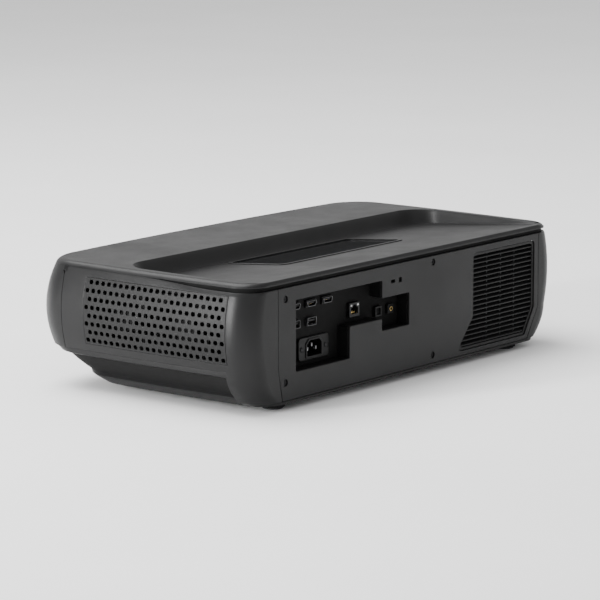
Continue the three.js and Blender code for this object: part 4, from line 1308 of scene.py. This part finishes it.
def rear_panel():
    low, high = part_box("rear_panel")
    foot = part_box("end_cover_right")[0].x - 2 * HAIRLINE
    outer = [
        (-foot, low.z),
        (foot, low.z),
        (high.x, LEDGE_Z),
        (high.x, SEAM_Z - HAIRLINE - SHADOW_GAP),
        (low.x, SEAM_Z - HAIRLINE - SHADOW_GAP),
        (low.x, LEDGE_Z),
    ]
    outlines = [outer, rounded(bay_outline(0), 2 * MM), rounded(vent_outline(0), 6 * MM)]
    outlines += [disc(x * MM, z * MM, 3.6 * MM) for x, z in SCREW_SPOTS]
    x, z = LOCK_SLOT
    outlines.append(rounded(rectangle(x * MM, z * MM, 7 * MM, 3.2 * MM), 1 * MM))
    outlines.append(rounded(rectangle((x - 13) * MM, z * MM, 5 * MM, 5 * MM), 0.8 * MM))
    panel = plate("rear_panel_shell", outlines, "y", REAR_Y - WALL, REAR_Y, 0.5 * MM, SHELL)
    place(panel, slot="shell_plastic", replaces=["rear_panel"])
    for index, (x, z) in enumerate(SCREW_SPOTS):
        add_screw(f"rear_screw_{index + 1}", x * MM, z * MM)
    backing = plate(
        "lock_slot_backing", [rectangle((LOCK_SLOT[0] - 6) * MM, LOCK_SLOT[1] * MM, 26 * MM, 9 * MM)], "y",
        REAR_Y - 8 * MM, REAR_Y - 5 * MM, 0.3 * MM, DULL_BLACK,
    )
    place(backing, slot="black_plastic")


def add_screw(name, x, z):
    """A countersunk cross-head screw, sunk in its hole."""
    y = REAR_Y - 1.6 * MM
    profile = [(0, -6), (1.5, -6), (1.5, -1.6), (3.1, -0.5), (3.3, -0.2), (3.1, 0), (2.2, 0.35), (0, 0.45)]
    head = turned(name, [(r * MM, h * MM) for r, h in profile], "y", Vector((x, y, z)), BLACKENED, 32)
    cross = bmesh.new()
    for width, height in ((3.4, 0.7), (0.7, 3.4)):
        bmesh.ops.create_cube(cross, size=1, matrix=Matrix.Translation((x, y, z)) @ Matrix.Diagonal(
            (width * MM, 2.2 * MM, height * MM, 1)))
    cutter = new_object("cross", taken("cross", cross))
    union = cutter.modifiers.new("self", "REMESH")
    union.mode = "VOXEL"
    union.voxel_size = 0.12 * MM
    settle(cutter)
    cut_with(head, cutter)
    place(head, slot="connector_steel")


def vent_louvres():
    """Slanted blades across the exhaust vent, with ribs and a frame behind them."""
    low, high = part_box("rear_vent_grille")
    front = REAR_Y - 1.2 * MM
    outline = vent_outline(-HAIRLINE)
    frame_piece = plate(
        "vent_frame",
        [rounded(outline, 5.5 * MM), rounded(inset_outline(outline, 3.2 * MM), 3.5 * MM)],
        "y", front - 4.5 * MM, front, 0.5 * MM, VENT,
    )
    pieces = [frame_piece]
    count = int((high.z - low.z - 6 * MM) / VENT_PITCH)
    for index in range(count + 1):
        z = low.z + 4.2 * MM + index * VENT_PITCH
        left, right = vent_span(z, outline)
        pieces.append(louvre(f"vent_blade_{index}", left - 1.5 * MM, right + 1.5 * MM, z, front))
    for share in (0.28, 0.5, 0.72):
        x = low.x + (VENT_LEFT_X - low.x) * share
        outline = rectangle(x, (low.z + high.z) / 2, 1.6 * MM, high.z - low.z - 4 * MM)
        pieces.append(plate("vent_rib", [outline], "y", front - 7 * MM, front - 3.4 * MM, 0.2 * MM, VENT, 1))
    place(merged("rear_vent_louvres", pieces), slot="grille_plastic", replaces=["rear_vent_grille"])


def winding(points):
    """1 for an outline that runs anticlockwise, -1 for one that runs clockwise."""
    after = [*points[1:], points[0]]
    area = sum(a[0] * b[1] - b[0] * a[1] for a, b in zip(points, after))
    return 1 if area > 0 else -1


def inset_outline(points, by):
    """An outline pulled inward by a distance, corner by corner."""
    count = len(points)
    turn = winding(points)
    done = []
    for i in range(count):
        here = Vector(points[i])
        a = (here - Vector(points[i - 1])).normalized()
        b = (Vector(points[(i + 1) % count]) - here).normalized()
        na = Vector((-a.y, a.x)) * turn
        nb = Vector((-b.y, b.x)) * turn
        bisector = (na + nb).normalized()
        done.append(tuple(here + bisector * by / max(0.3, bisector.dot(na))))
    return done


def vent_span(z, outline):
    """The left and right sides of the vent's outline at a height."""
    crossings = []
    count = len(outline)
    for i in range(count):
        (x0, z0), (x1, z1) = outline[i], outline[(i + 1) % count]
        if (z0 - z) * (z1 - z) <= 0 and abs(z1 - z0) > 1e-9:
            crossings.append(x0 + (x1 - x0) * (z - z0) / (z1 - z0))
    return max(crossings), min(crossings)


def louvre(name, left, right, z, front):
    """One slanted blade with rounded edges, its outer edge lower than its inner one."""
    outer = front - 0.6 * MM
    section = [
        (outer, z),
        (outer, z + LOUVRE_THICKNESS),
        (outer - LOUVRE_DEPTH, z + LOUVRE_RISE + LOUVRE_THICKNESS),
        (outer - LOUVRE_DEPTH, z + LOUVRE_RISE),
    ]
    return plate(name, [section], "x", right, left, 0.25 * MM, VENT, 1)


def connector_bay():
    """The recessed tray behind the rear panel, with holes for the connectors in its back plate."""
    low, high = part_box("connector_bay")
    plate_low, plate_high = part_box("connector_plate")
    front = REAR_Y - WALL - HAIRLINE
    rims = [rounded(bay_outline(BAY_WALL), 3 * MM), rounded(bay_outline(0), 2 * MM)]
    walls = plate("connector_bay_walls", rims, "y", low.y, front, 0.25 * MM, BLACK)
    holes = []
    for name in ("hdmi_port_1", "hdmi_port_2", "hdmi_port_3", "usb_port_1", "usb_port_2",
                 "network_port", "optical_audio_port", "audio_jack"):
        a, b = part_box(name)
        wide = b.x - a.x + 2 * HAIRLINE
        tall = b.z - a.z + 2 * HAIRLINE
        holes.append(rectangle((a.x + b.x) / 2, (a.z + b.z) / 2, wide, tall))
    a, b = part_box("power_inlet")
    holes.append(rectangle((a.x + b.x) / 2, (a.z + b.z) / 2, 30 * MM, 22 * MM))
    back_plate = plate("connector_back_plate", [rounded(bay_outline(1.9 * MM), 3 * MM), *holes],
                       "y", plate_low.y, plate_high.y, 0.15 * MM, DULL_BLACK, 1)
    place(walls, slot="black_plastic", replaces=["connector_bay"])
    place(back_plate, slot="black_plastic", replaces=["connector_plate"])


# ---- Connectors -----------------------------------------------------------------------------

def opening_of(node):
    """A connector's box, and the middle of its face."""
    low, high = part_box(node)
    return low, high, (low.x + high.x) / 2, (low.z + high.z) / 2


def contacts(places, width, height, back, front, bevel):
    """A row of gilt contacts, at (x, z) places."""
    outlines = [rectangle(x, z, width, height) for x, z in places]
    return [plate("contact", [outline], "y", back, front, bevel, GOLD, 0) for outline in outlines]


def hdmi_port(node):
    """A plated shell with bevelled lower corners, round a tongue with nine contacts."""
    low, high, cx, cz = opening_of(node)
    profile = [(-7.4, 2.6), (-7.4, -0.4), (-5.6, -2.9), (5.6, -2.9), (7.4, -0.4), (7.4, 2.6)]

    def scaled(wide, tall, radius):
        return rounded([(cx + u * wide * MM, cz + v * tall * MM) for u, v in profile], radius)

    block = rectangle(cx, cz, high.x - low.x, high.z - low.z)
    pieces = [
        plate("shell", [scaled(1, 1, 0.5 * MM), scaled(0.94, 0.86, 0.4 * MM)], "y",
              low.y + 3 * MM, high.y, 0.12 * MM, PLATED),
        plate("block", [block, scaled(1.02, 1.04, 0.5 * MM)], "y", low.y, high.y - 1.4 * MM, 0.2 * MM, BLACK),
        plate("floor", [rectangle(cx, cz, 14 * MM, 5.6 * MM)], "y", low.y, low.y + 3 * MM, 0.1 * MM, BLACK),
        plate("tongue", [rounded(rectangle(cx, cz + 0.5 * MM, 11 * MM, 1.5 * MM), 0.3 * MM)], "y",
              low.y + 2 * MM, high.y - 1.6 * MM, 0.1 * MM, BLACK),
    ]
    places = [(cx + (index - 4) * 1.1 * MM, cz - 0.35 * MM) for index in range(9)]
    pieces += contacts(places, 0.5 * MM, 0.24 * MM, low.y + 3 * MM, high.y - 2.2 * MM, 0.05 * MM)
    place(merged(node + "_socket", pieces), slot="connector_steel", replaces=[node])


def usb_port(node):
    """A folded shell with two springs, round a tongue with four contacts."""
    low, high, cx, cz = opening_of(node)
    outer = rounded(rectangle(cx, cz, high.x - low.x, high.z - low.z), 0.7 * MM)
    inner = rounded(rectangle(cx, cz, high.x - low.x - 0.8 * MM, high.z - low.z - 0.8 * MM), 0.5 * MM)
    pieces = [
        plate("shell", [outer, inner], "y", low.y, high.y, 0.12 * MM, PLATED),
        plate("floor", [rectangle(cx, cz, 13.6 * MM, 7.2 * MM)], "y", low.y, low.y + 3 * MM, 0.1 * MM, BLACK),
        plate("tongue", [rounded(rectangle(cx, cz + 1.2 * MM, 11.2 * MM, 2 * MM), 0.3 * MM)], "y",
              low.y + 2 * MM, high.y - 1.2 * MM, 0.12 * MM, BLACK),
    ]
    places = [(cx + (index - 1.5) * 2.4 * MM, cz + 0.1 * MM) for index in range(4)]
    pieces += contacts(places, 1.1 * MM, 0.26 * MM, low.y + 3 * MM, high.y - 2 * MM, 0.05 * MM)
    for side in (-1, 1):
        middle = (low.y + high.y) / 2 + 3 * MM
        spring = rounded(rectangle(cx + side * 3.4 * MM, middle, 2 * MM, 5 * MM), 0.6 * MM)
        pieces.append(plate("spring", [spring], "z", low.z + 0.3 * MM, low.z + 0.95 * MM, 0.1 * MM, PLATED))
    place(merged(node + "_socket", pieces), slot="connector_steel", replaces=[node])


def network_port(node):
    """A socket with a stepped mouth for the plug's latch, eight contacts and two lamps."""
    low, high, cx, cz = opening_of(node)
    right_half = [(5.9, -4.4), (5.9, 2.6), (3.2, 2.6), (3.2, 4.2), (1.7, 4.2), (1.7, 5.4)]
    mouth = [(-5.9, -4.4), *right_half, *[(-u, v) for u, v in reversed(right_half[1:])]]
    hole = [(cx + u * MM, cz + v * MM) for u, v in mouth]
    pieces = [
        plate("shell", [rounded(rectangle(cx, cz, high.x - low.x, high.z - low.z), 0.6 * MM), hole], "y",
              low.y + 4 * MM, high.y, 0.15 * MM, BLACKENED),
        plate("floor", [rectangle(cx, cz, 15 * MM, 13 * MM)], "y", low.y, low.y + 5 * MM, 0.1 * MM, BLACK),
    ]
    places = [(cx + (index - 3.5) * 1.02 * MM, cz - 3.3 * MM) for index in range(8)]
    pieces += contacts(places, 0.4 * MM, 1.4 * MM, low.y + 4 * MM, high.y - 3 * MM, 0.06 * MM)
    for side in (-1, 1):
        light = rounded(rectangle(cx + side * 5.6 * MM, cz + 5 * MM, 2.4 * MM, 2 * MM), 0.4 * MM)
        pieces.append(plate("lamp", [light], "y", high.y - 1 * MM, high.y + 0.25 * MM, 0.15 * MM, LIGHT))
    place(merged(node + "_socket", pieces), slot="connector_steel", replaces=[node])


def optical_port(node):
    """A square optical socket with its shutter closed."""
    low, high, cx, cz = opening_of(node)
    mouth = rounded(rectangle(cx, cz, 7.4 * MM, 7.4 * MM), 1.2 * MM)
    pieces = [
        plate("shell", [rounded(rectangle(cx, cz, high.x - low.x, high.z - low.z), 1 * MM), mouth], "y",
              low.y + 3 * MM, high.y, 0.3 * MM, BLACK),
        plate("floor", [rectangle(cx, cz, 9 * MM, 9 * MM)], "y", low.y, low.y + 4 * MM, 0.1 * MM, DULL_BLACK),
        plate("shutter", [rounded(rectangle(cx, cz, 7 * MM, 7 * MM), 1 * MM)], "y",
              high.y - 2.6 * MM, high.y - 1.6 * MM, 0.3 * MM, DULL_BLACK),
    ]
    place(merged(node + "_socket", pieces), slot="black_plastic", replaces=[node])


def audio_jack(node):
    """A round jack with a gilt ring."""
    low, high, cx, cz = opening_of(node)
    body = rounded(rectangle(cx, cz, high.x - low.x, high.z - low.z), 0.8 * MM)
    pieces = [
        plate("body", [body, disc(cx, cz, 3 * MM)], "y", low.y + 3 * MM, high.y - 0.6 * MM, 0.2 * MM, BLACK),
        plate("collar", [disc(cx, cz, 3.6 * MM), disc(cx, cz, 1.85 * MM)], "y",
              low.y + 4 * MM, high.y, 0.3 * MM, BLACK),
        plate("floor", [rectangle(cx, cz, 8 * MM, 8 * MM)], "y", low.y, low.y + 4 * MM, 0.1 * MM, DULL_BLACK),
        plate("ring", [disc(cx, cz, 2.4 * MM), disc(cx, cz, 1.8 * MM)], "y",
              high.y - 0.3 * MM, high.y + 0.2 * MM, 0.12 * MM, GOLD),
    ]
    place(merged(node + "_socket", pieces), slot="black_plastic", replaces=[node])


def power_inlet():
    """A three-pin appliance inlet with chamfered lower corners and a flange with two screws."""
    node = "power_inlet"
    low, high, cx, cz = opening_of(node)

    def hexagon(width, height, chamfer, radius):
        w = width / 2 * MM
        h = height / 2 * MM
        c = chamfer * MM
        points = [(-w, -h), (w, -h), (w, h - c), (w - c, h), (-w + c, h), (-w, h - c)]
        return rounded([(cx + u, cz + v) for u, v in points], radius)

    flange = rounded(rectangle(cx, cz, high.x - low.x, high.z - low.z), 4 * MM)
    mouth = hexagon(24, 16.5, 4, 1 * MM)
    ears = [disc(cx + side * 20 * MM, cz, 1.6 * MM) for side in (-1, 1)]
    pieces = [
        plate("flange", [flange, mouth, *ears], "y", high.y - 3 * MM, high.y, 0.5 * MM, BLACK),
        plate("collar", [hexagon(28, 20.5, 5, 1.4 * MM), mouth], "y",
              low.y, high.y + 1 * MM, 0.4 * MM, BLACK),
        plate("floor", [rectangle(cx, cz, 26 * MM, 18 * MM)], "y", low.y, low.y + 3 * MM, 0.2 * MM, BLACK),
    ]
    for offset, lift in ((-7, -1.5), (0, 2.5), (7, -1.5)):
        pin = rounded(rectangle(cx + offset * MM, cz + lift * MM, 2 * MM, 4 * MM), 0.3 * MM)
        pieces.append(plate("pin", [pin], "y", low.y + 2 * MM, high.y - 2.5 * MM, 0.4 * MM, PLATED))
    for side in (-1, 1):
        profile = [(0, -3), (1.4, -3), (1.4, 0), (2.7, 0.1), (2.6, 0.7), (1.6, 1.3), (0, 1.5)]
        pieces.append(turned("flange_screw", [(r * MM, h * MM) for r, h in profile], "y",
                             Vector((cx + side * 20 * MM, high.y, cz)), BLACKENED, 24))
    place(merged("power_inlet_socket", pieces), slot="black_plastic", replaces=[node])


def connectors():
    for index in (1, 2, 3):
        hdmi_port(f"hdmi_port_{index}")
    for index in (1, 2):
        usb_port(f"usb_port_{index}")
    network_port("network_port")
    optical_port("optical_audio_port")
    audio_jack("audio_jack")
    power_inlet()


# ---- Feet -----------------------------------------------------------------------------------

def foot_pad(corner):
    """A knurled wheel with a rubber sole."""
    node = "foot_pad_" + corner
    low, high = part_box(node)
    centre = (low + high) / 2
    radius = (high.x - low.x) / 2
    teeth = 44
    outline = []
    for i in range(teeth * 4):
        angle = 2 * math.pi * i / (teeth * 4)
        r = radius - 0.5 * MM + 0.45 * MM * math.cos(teeth * angle)
        outline.append((centre.x + r * math.cos(angle), centre.y + r * math.sin(angle)))
    sole_top = low.z + 2 * MM
    bore = disc(centre.x, centre.y, 4.4 * MM)
    knob = plate("knob", [outline, bore], "z", sole_top, high.z, 0.5 * MM, BLACK)
    profile = [(0, 0), (radius - 3 * MM, 0), (radius - 2.1 * MM, 0.5 * MM), (radius - 1.9 * MM, 1.2 * MM),
               (radius - 1.9 * MM, 2.2 * MM), (0, 2.2 * MM)]
    sole = turned("sole", profile, "z", Vector((centre.x, centre.y, low.z)), RUBBER)
    place(merged(node + "_knob", [knob, sole]), node, "foot_rubber", [node])


def foot_stud(corner):
    """A screw-thread stud: the radius follows a helix of the pitch that the foot moves by."""
    node = "foot_stud_" + corner
    low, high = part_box(node)
    centre = (low + high) / 2
    radius = (high.x - low.x) / 2
    pitch = 1.25 * MM
    sides = 28
    steps = int((high.z - low.z) / (pitch / 6))
    points = []
    for k in range(steps + 1):
        z = low.z + (high.z - low.z) * k / steps
        for i in range(sides):
            angle = 2 * math.pi * i / sides
            phase = (z / pitch - i / sides) % 1.0
            end = min(1.0, (z - low.z) / (1 * MM), (high.z - z) / (1 * MM))
            r = radius - 0.75 * MM * (1 - end) - 0.6 * MM * abs(2 * phase - 1) * end
            points.append((centre.x + r * math.cos(angle), centre.y + r * math.sin(angle), z))
    faces = tube_faces(sides, steps + 1)
    faces.append(tuple(reversed(range(sides))))
    faces.append(tuple(range(steps * sides, (steps + 1) * sides)))
    piece = settle(new_object(node + "_thread", mesh_from(node, points, faces), PLATED))
    place(piece, node, "stud_steel", [node])


def feet():
    for corner in ("rear_right", "rear_left", "front_right", "front_left"):
        foot_pad(corner)
        foot_stud(corner)


# ---- Power button ---------------------------------------------------------------------------

def power_button():
    """A domed round button with a dished face and a ring engraved round it."""
    low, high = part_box("power_button")
    radius = (high.z - low.z) / 2 - 0.1 * MM
    centre = Vector((low.x, (low.y + high.y) / 2, (low.z + high.z) / 2))
    face = [(0, 0.9), (2.6, 0.75), (3.6, 0.35), (3.9, 0.2), (4.2, 0.35), (5.0, 0.1), (5.6, 0.35)]
    profile = [*face, (5.9, 0.9), (5.9, 3), (3, 3), (3, 10), (0, 10)]
    scale = radius / (5.9 * MM)
    points = [(r * MM * scale if r <= 5.9 else radius, h * MM) for r, h in profile]
    piece = turned("power_button_cap", points, "x", centre, BLACK, 48)
    place(piece, "power_button", "black_plastic", ["power_button"])


# ---- Internals that show --------------------------------------------------------------------

def fan_impeller(name):
    """Seven curved blades on a hub with a domed cap."""
    node = name + "_impeller"
    low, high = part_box(node)
    centre = (low + high) / 2
    radius = (high.z - low.z) / 2 - 0.3 * MM
    side = 1 if centre.x > 0 else -1
    hub = 16 * MM
    depth = 18 * MM
    face = high.x if side > 0 else low.x
    start = face - side * depth
    hub_profile = [
        (0, 0),
        (hub - 1.5 * MM, 0),
        (hub, 1.5 * MM),
        (hub, depth - 3 * MM),
        (hub - 1 * MM, depth - 1 * MM),
        (hub - 4 * MM, depth - 0.3 * MM),
        (0, depth - 0.3 * MM),
    ]
    if side < 0:
        hub_profile = [(r, -h) for r, h in hub_profile]
    pieces = [turned("hub", hub_profile, "x", Vector((start, centre.y, centre.z)), BLACK, 48)]
    pieces += [fan_blade(i, start, side, depth, hub, radius, centre) for i in range(7)]
    place(merged(name + "_rotor_blades", pieces), name + "_rotor", "black_plastic", [node])


def fan_blade(index, start, side, depth, hub, radius, centre):
    points = []
    chord_steps = 8
    span_steps = 6
    for s in range(span_steps + 1):
        span = s / span_steps
        r = hub - 0.6 * MM + (radius - hub + 0.6 * MM) * span
        for c in range(chord_steps + 1):
            share = c / chord_steps
            sweep = 0.62 * (share - 0.5) + 0.16 * span + 0.1 * math.sin(math.pi * share)
            angle = 2 * math.pi * index / 7 + sweep
            x = start + side * depth * (0.12 + 0.76 * share)
            points.append((x, centre.y + r * math.cos(angle), centre.z + r * math.sin(angle)))
    blade = new_object("blade", mesh_from("blade", points, grid_faces(chord_steps, span_steps)), BLACK)
    wall = add_wall(blade, 1.3 * MM).modifiers["wall"]
    wall.offset = 0
    add_bevel(blade, 0.3 * MM, 2)
    return settle(blade)


def fan_frame(name):
    """A square fan frame with a round duct, corner screw holes and the motor's arms."""
    node = name + "_frame"
    low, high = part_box(node)
    centre = (low + high) / 2
    size = high.z - low.z
    holes = [disc(centre.y + sy * (size / 2 - 4.5 * MM), centre.z + sz * (size / 2 - 4.5 * MM), 2.1 * MM, 20)
             for sy in (-1, 1) for sz in (-1, 1)]
    side = 1 if centre.x > 0 else -1
    square = rounded(rectangle(centre.y, centre.z, size, size), 4 * MM)
    duct = disc(centre.y, centre.z, 34 * MM, 72)
    pieces = [plate("flange", [square, duct, *holes], "x", a, b, 0.4 * MM, BLACK)
              for a, b in ((low.x, low.x + 4 * MM), (high.x - 4 * MM, high.x))]
    pieces.append(plate("duct", [disc(centre.y, centre.z, 35.6 * MM, 72), duct], "x",
                        low.x + 1 * MM, high.x - 1 * MM, 0.3 * MM, BLACK))
    inner_low, inner_high = (low.x, low.x + 3 * MM) if side > 0 else (high.x - 3 * MM, high.x)
    carrier = [disc(centre.y, centre.z, 15 * MM), disc(centre.y, centre.z, 2.3 * MM)]
    pieces.append(plate("carrier", carrier, "x", inner_low, inner_high, 0.4 * MM, BLACK))
    for arm in range(4):
        angle = math.pi / 2 * arm + 0.5
        along = Vector((math.cos(angle), math.sin(angle)))
        across = Vector((-along.y, along.x)) * 1.6 * MM
        start = Vector((centre.y, centre.z)) + along * 14 * MM
        end = Vector((centre.y, centre.z)) + along * 35 * MM
        points = [tuple(start - across), tuple(end - across), tuple(end + across), tuple(start + across)]
        pieces.append(plate("arm", [points], "x", inner_low, inner_high, 0.4 * MM, BLACK))
    place(merged(name + "_duct", pieces), slot="black_plastic", replaces=[node])


def fans():
    for name in ("intake_fan_front", "intake_fan_rear", "exhaust_fan"):
        fan_impeller(name)
        fan_frame(name)


def curved_mirror():
    """The free-form mirror under the front band, with a thick moulded back."""
    low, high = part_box("concave_mirror")
    columns = 28
    rows = 14

    def face(u, v):
        x = low.x + (high.x - low.x) * u
        z = low.z + (high.z - low.z) * v
        rise = z - low.z
        return Vector((x, low.y + 5 * MM + 3.4 * x * x + 4.0 * rise * rise, z))

    points = [face(c / columns, r / rows) for r in range(rows + 1) for c in range(columns + 1)]
    width = columns + 1
    faces = []
    for r in range(rows):
        for c in range(columns):
            a = r * width + c
            faces.append((a + 1, a, a + width, a + 1 + width))
    piece = new_object("concave_mirror_face", mesh_from("mirror", points, faces), MIRROR)
    add_wall(piece, 4.6 * MM)
    add_bevel(piece, 0.6 * MM)
    settle(piece)
    place(piece, slot="mirror_coat", replaces=["concave_mirror"])


def painted_seam_shadow():
    """A dark sheet behind the rear groove, a painted shadow, so that the seam reads as a shadow."""
    heights = (SEAM_Z - 9 * MM, SEAM_Z + 1.2 * MM)
    shape = bmesh.new()
    rings = []
    for z in heights:
        ring = outline_ring(SEAM_Z, WALL + 0.4 * MM)
        rings.append([Vector((p.x, p.y, z)) for p in ring])
    skin(shape, rings)
    piece = new_object("seam_painted_shadow", facing_out(taken("seam_painted_shadow", shape)), DULL_BLACK)
    add_wall(piece, 0.5 * MM)
    settle(piece)
    place(piece, slot="black_plastic")


def speaker_cloth():
    """Black cloth behind the front grille."""
    low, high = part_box("front_grille")
    depth = WALL + 1.4 * MM
    xs = spread(low.x - 4 * MM, high.x + 4 * MM, 50)
    columns = [lambda z, x=x: front_point(x, z, inward=depth) for x in xs]
    mesh = sheet("front_speaker_cloth", columns, spread(low.z - 3 * MM, high.z + 3 * MM, 8))
    cloth = moulding("front_speaker_cloth", mesh, CLOTH, 0.7 * MM, 0)
    place(cloth, slot="black_plastic")


def exhaust_filter():
    """A framed filter sheet behind the louvres of the exhaust vent."""
    outline = inset_outline(vent_outline(0), -3 * MM)
    back = REAR_Y - 12 * MM
    sheet_piece = plate("sheet", [inset_outline(outline, 3 * MM)], "y",
                        back, back + 1 * MM, 0.2 * MM, CLOTH, 1)
    rim = plate("rim", [outline, inset_outline(outline, 4 * MM)], "y",
                back - 1 * MM, back + 2 * MM, 0.4 * MM, BLACK)
    place(merged("exhaust_vent_filter", [sheet_piece, rim]), slot="black_plastic")


def bulkheads():
    """Upright walls with stiffening ribs, which part the fans' plenums from the middle of the housing."""
    for side, word in ((1, "right"), (-1, "left")):
        outline = rounded(rectangle(0.014, 0.0685, 0.196, 0.097), 4 * MM)
        inner, outer = sorted((side * 0.208, side * 0.2092))
        pieces = [plate("wall", [outline], "x", inner, outer, 0.2 * MM, DULL_BLACK)]
        for index in range(5):
            y = (-64 + 39 * index) * MM
            start, end = sorted((side * 0.2085, side * 0.2115))
            outline = rectangle(y, 0.0685, 1.6 * MM, 0.09)
            pieces.append(plate("rib", [outline], "x", start, end, 0.3 * MM, DULL_BLACK))
        place(merged(f"plenum_bulkhead_{word}", pieces), slot="black_plastic")


# ---- Stage ----------------------------------------------------------------------------------

def stage():
    bpy.ops.mesh.primitive_plane_add(size=40, location=(0, 0, 0))
    floor = bpy.context.object
    floor.name = "floor"
    material, tree, surface, where = shader("pale_floor")
    tone = ramp(tree, noise(tree, where, 3, 4, 0.5), grey(0.9), grey(0.93))
    tree.links.new(tone, surface.inputs["Base Color"])
    surface.inputs["Roughness"].default_value = 0.8
    floor.data.materials.append(material)
    world = bpy.data.worlds.new("studio")
    bpy.context.scene.world = world
    world.use_nodes = True
    background = world.node_tree.nodes["Background"]
    background.inputs["Color"].default_value = (1, 1, 1, 1)
    background.inputs["Strength"].default_value = 0.85


def area_light(name, place_at, target, size, power):
    data = bpy.data.lights.new(name, "AREA")
    data.shape = "RECTANGLE"
    data.size = size[0]
    data.size_y = size[1]
    data.energy = power
    light = bpy.data.objects.new(name, data)
    bpy.context.scene.collection.objects.link(light)
    light.location = place_at
    light.rotation_euler = (Vector(target) - Vector(place_at)).to_track_quat("-Z", "Y").to_euler()


def lights():
    middle = (0, 0, 0.07)
    area_light("top_softbox", (0.4, -1.0, 2.6), middle, (2.6, 2.2), 150)
    area_light("end_strip", (2.75, -0.85, 0.5), middle, (0.3, 1.3), 150)
    area_light("rear_fill", (0.9, 3.0, 1.6), middle, (1.8, 1.4), 5)


def camera():
    """The photograph's viewing direction and distance, with a longer lens so that the part fills the view."""
    data = bpy.data.cameras.new("camera")
    data.lens = 196
    data.sensor_width = 36
    data.clip_end = 100
    holder = bpy.data.objects.new("camera", data)
    bpy.context.scene.collection.objects.link(holder)
    holder.location = (2.765, 2.205, 0.709)
    target = Vector((0.0, 0.0, HEIGHT * 0.5))
    holder.rotation_euler = (target - holder.location).to_track_quat("-Z", "Y").to_euler()
    bpy.context.scene.camera = holder


# ---- The whole projector --------------------------------------------------------------------

camera()
stage()
lights()
dress_cad_nodes()
make_ends()
front_fascia()
front_inserts()
front_grille()
base_tray()
underside_details()
top_cover()
deck()
window_pieces()
beam_shroud()
rear_panel()
vent_louvres()
connector_bay()
connectors()
feet()
power_button()
fans()
curved_mirror()
painted_seam_shadow()
speaker_cloth()
exhaust_filter()
bulkheads()
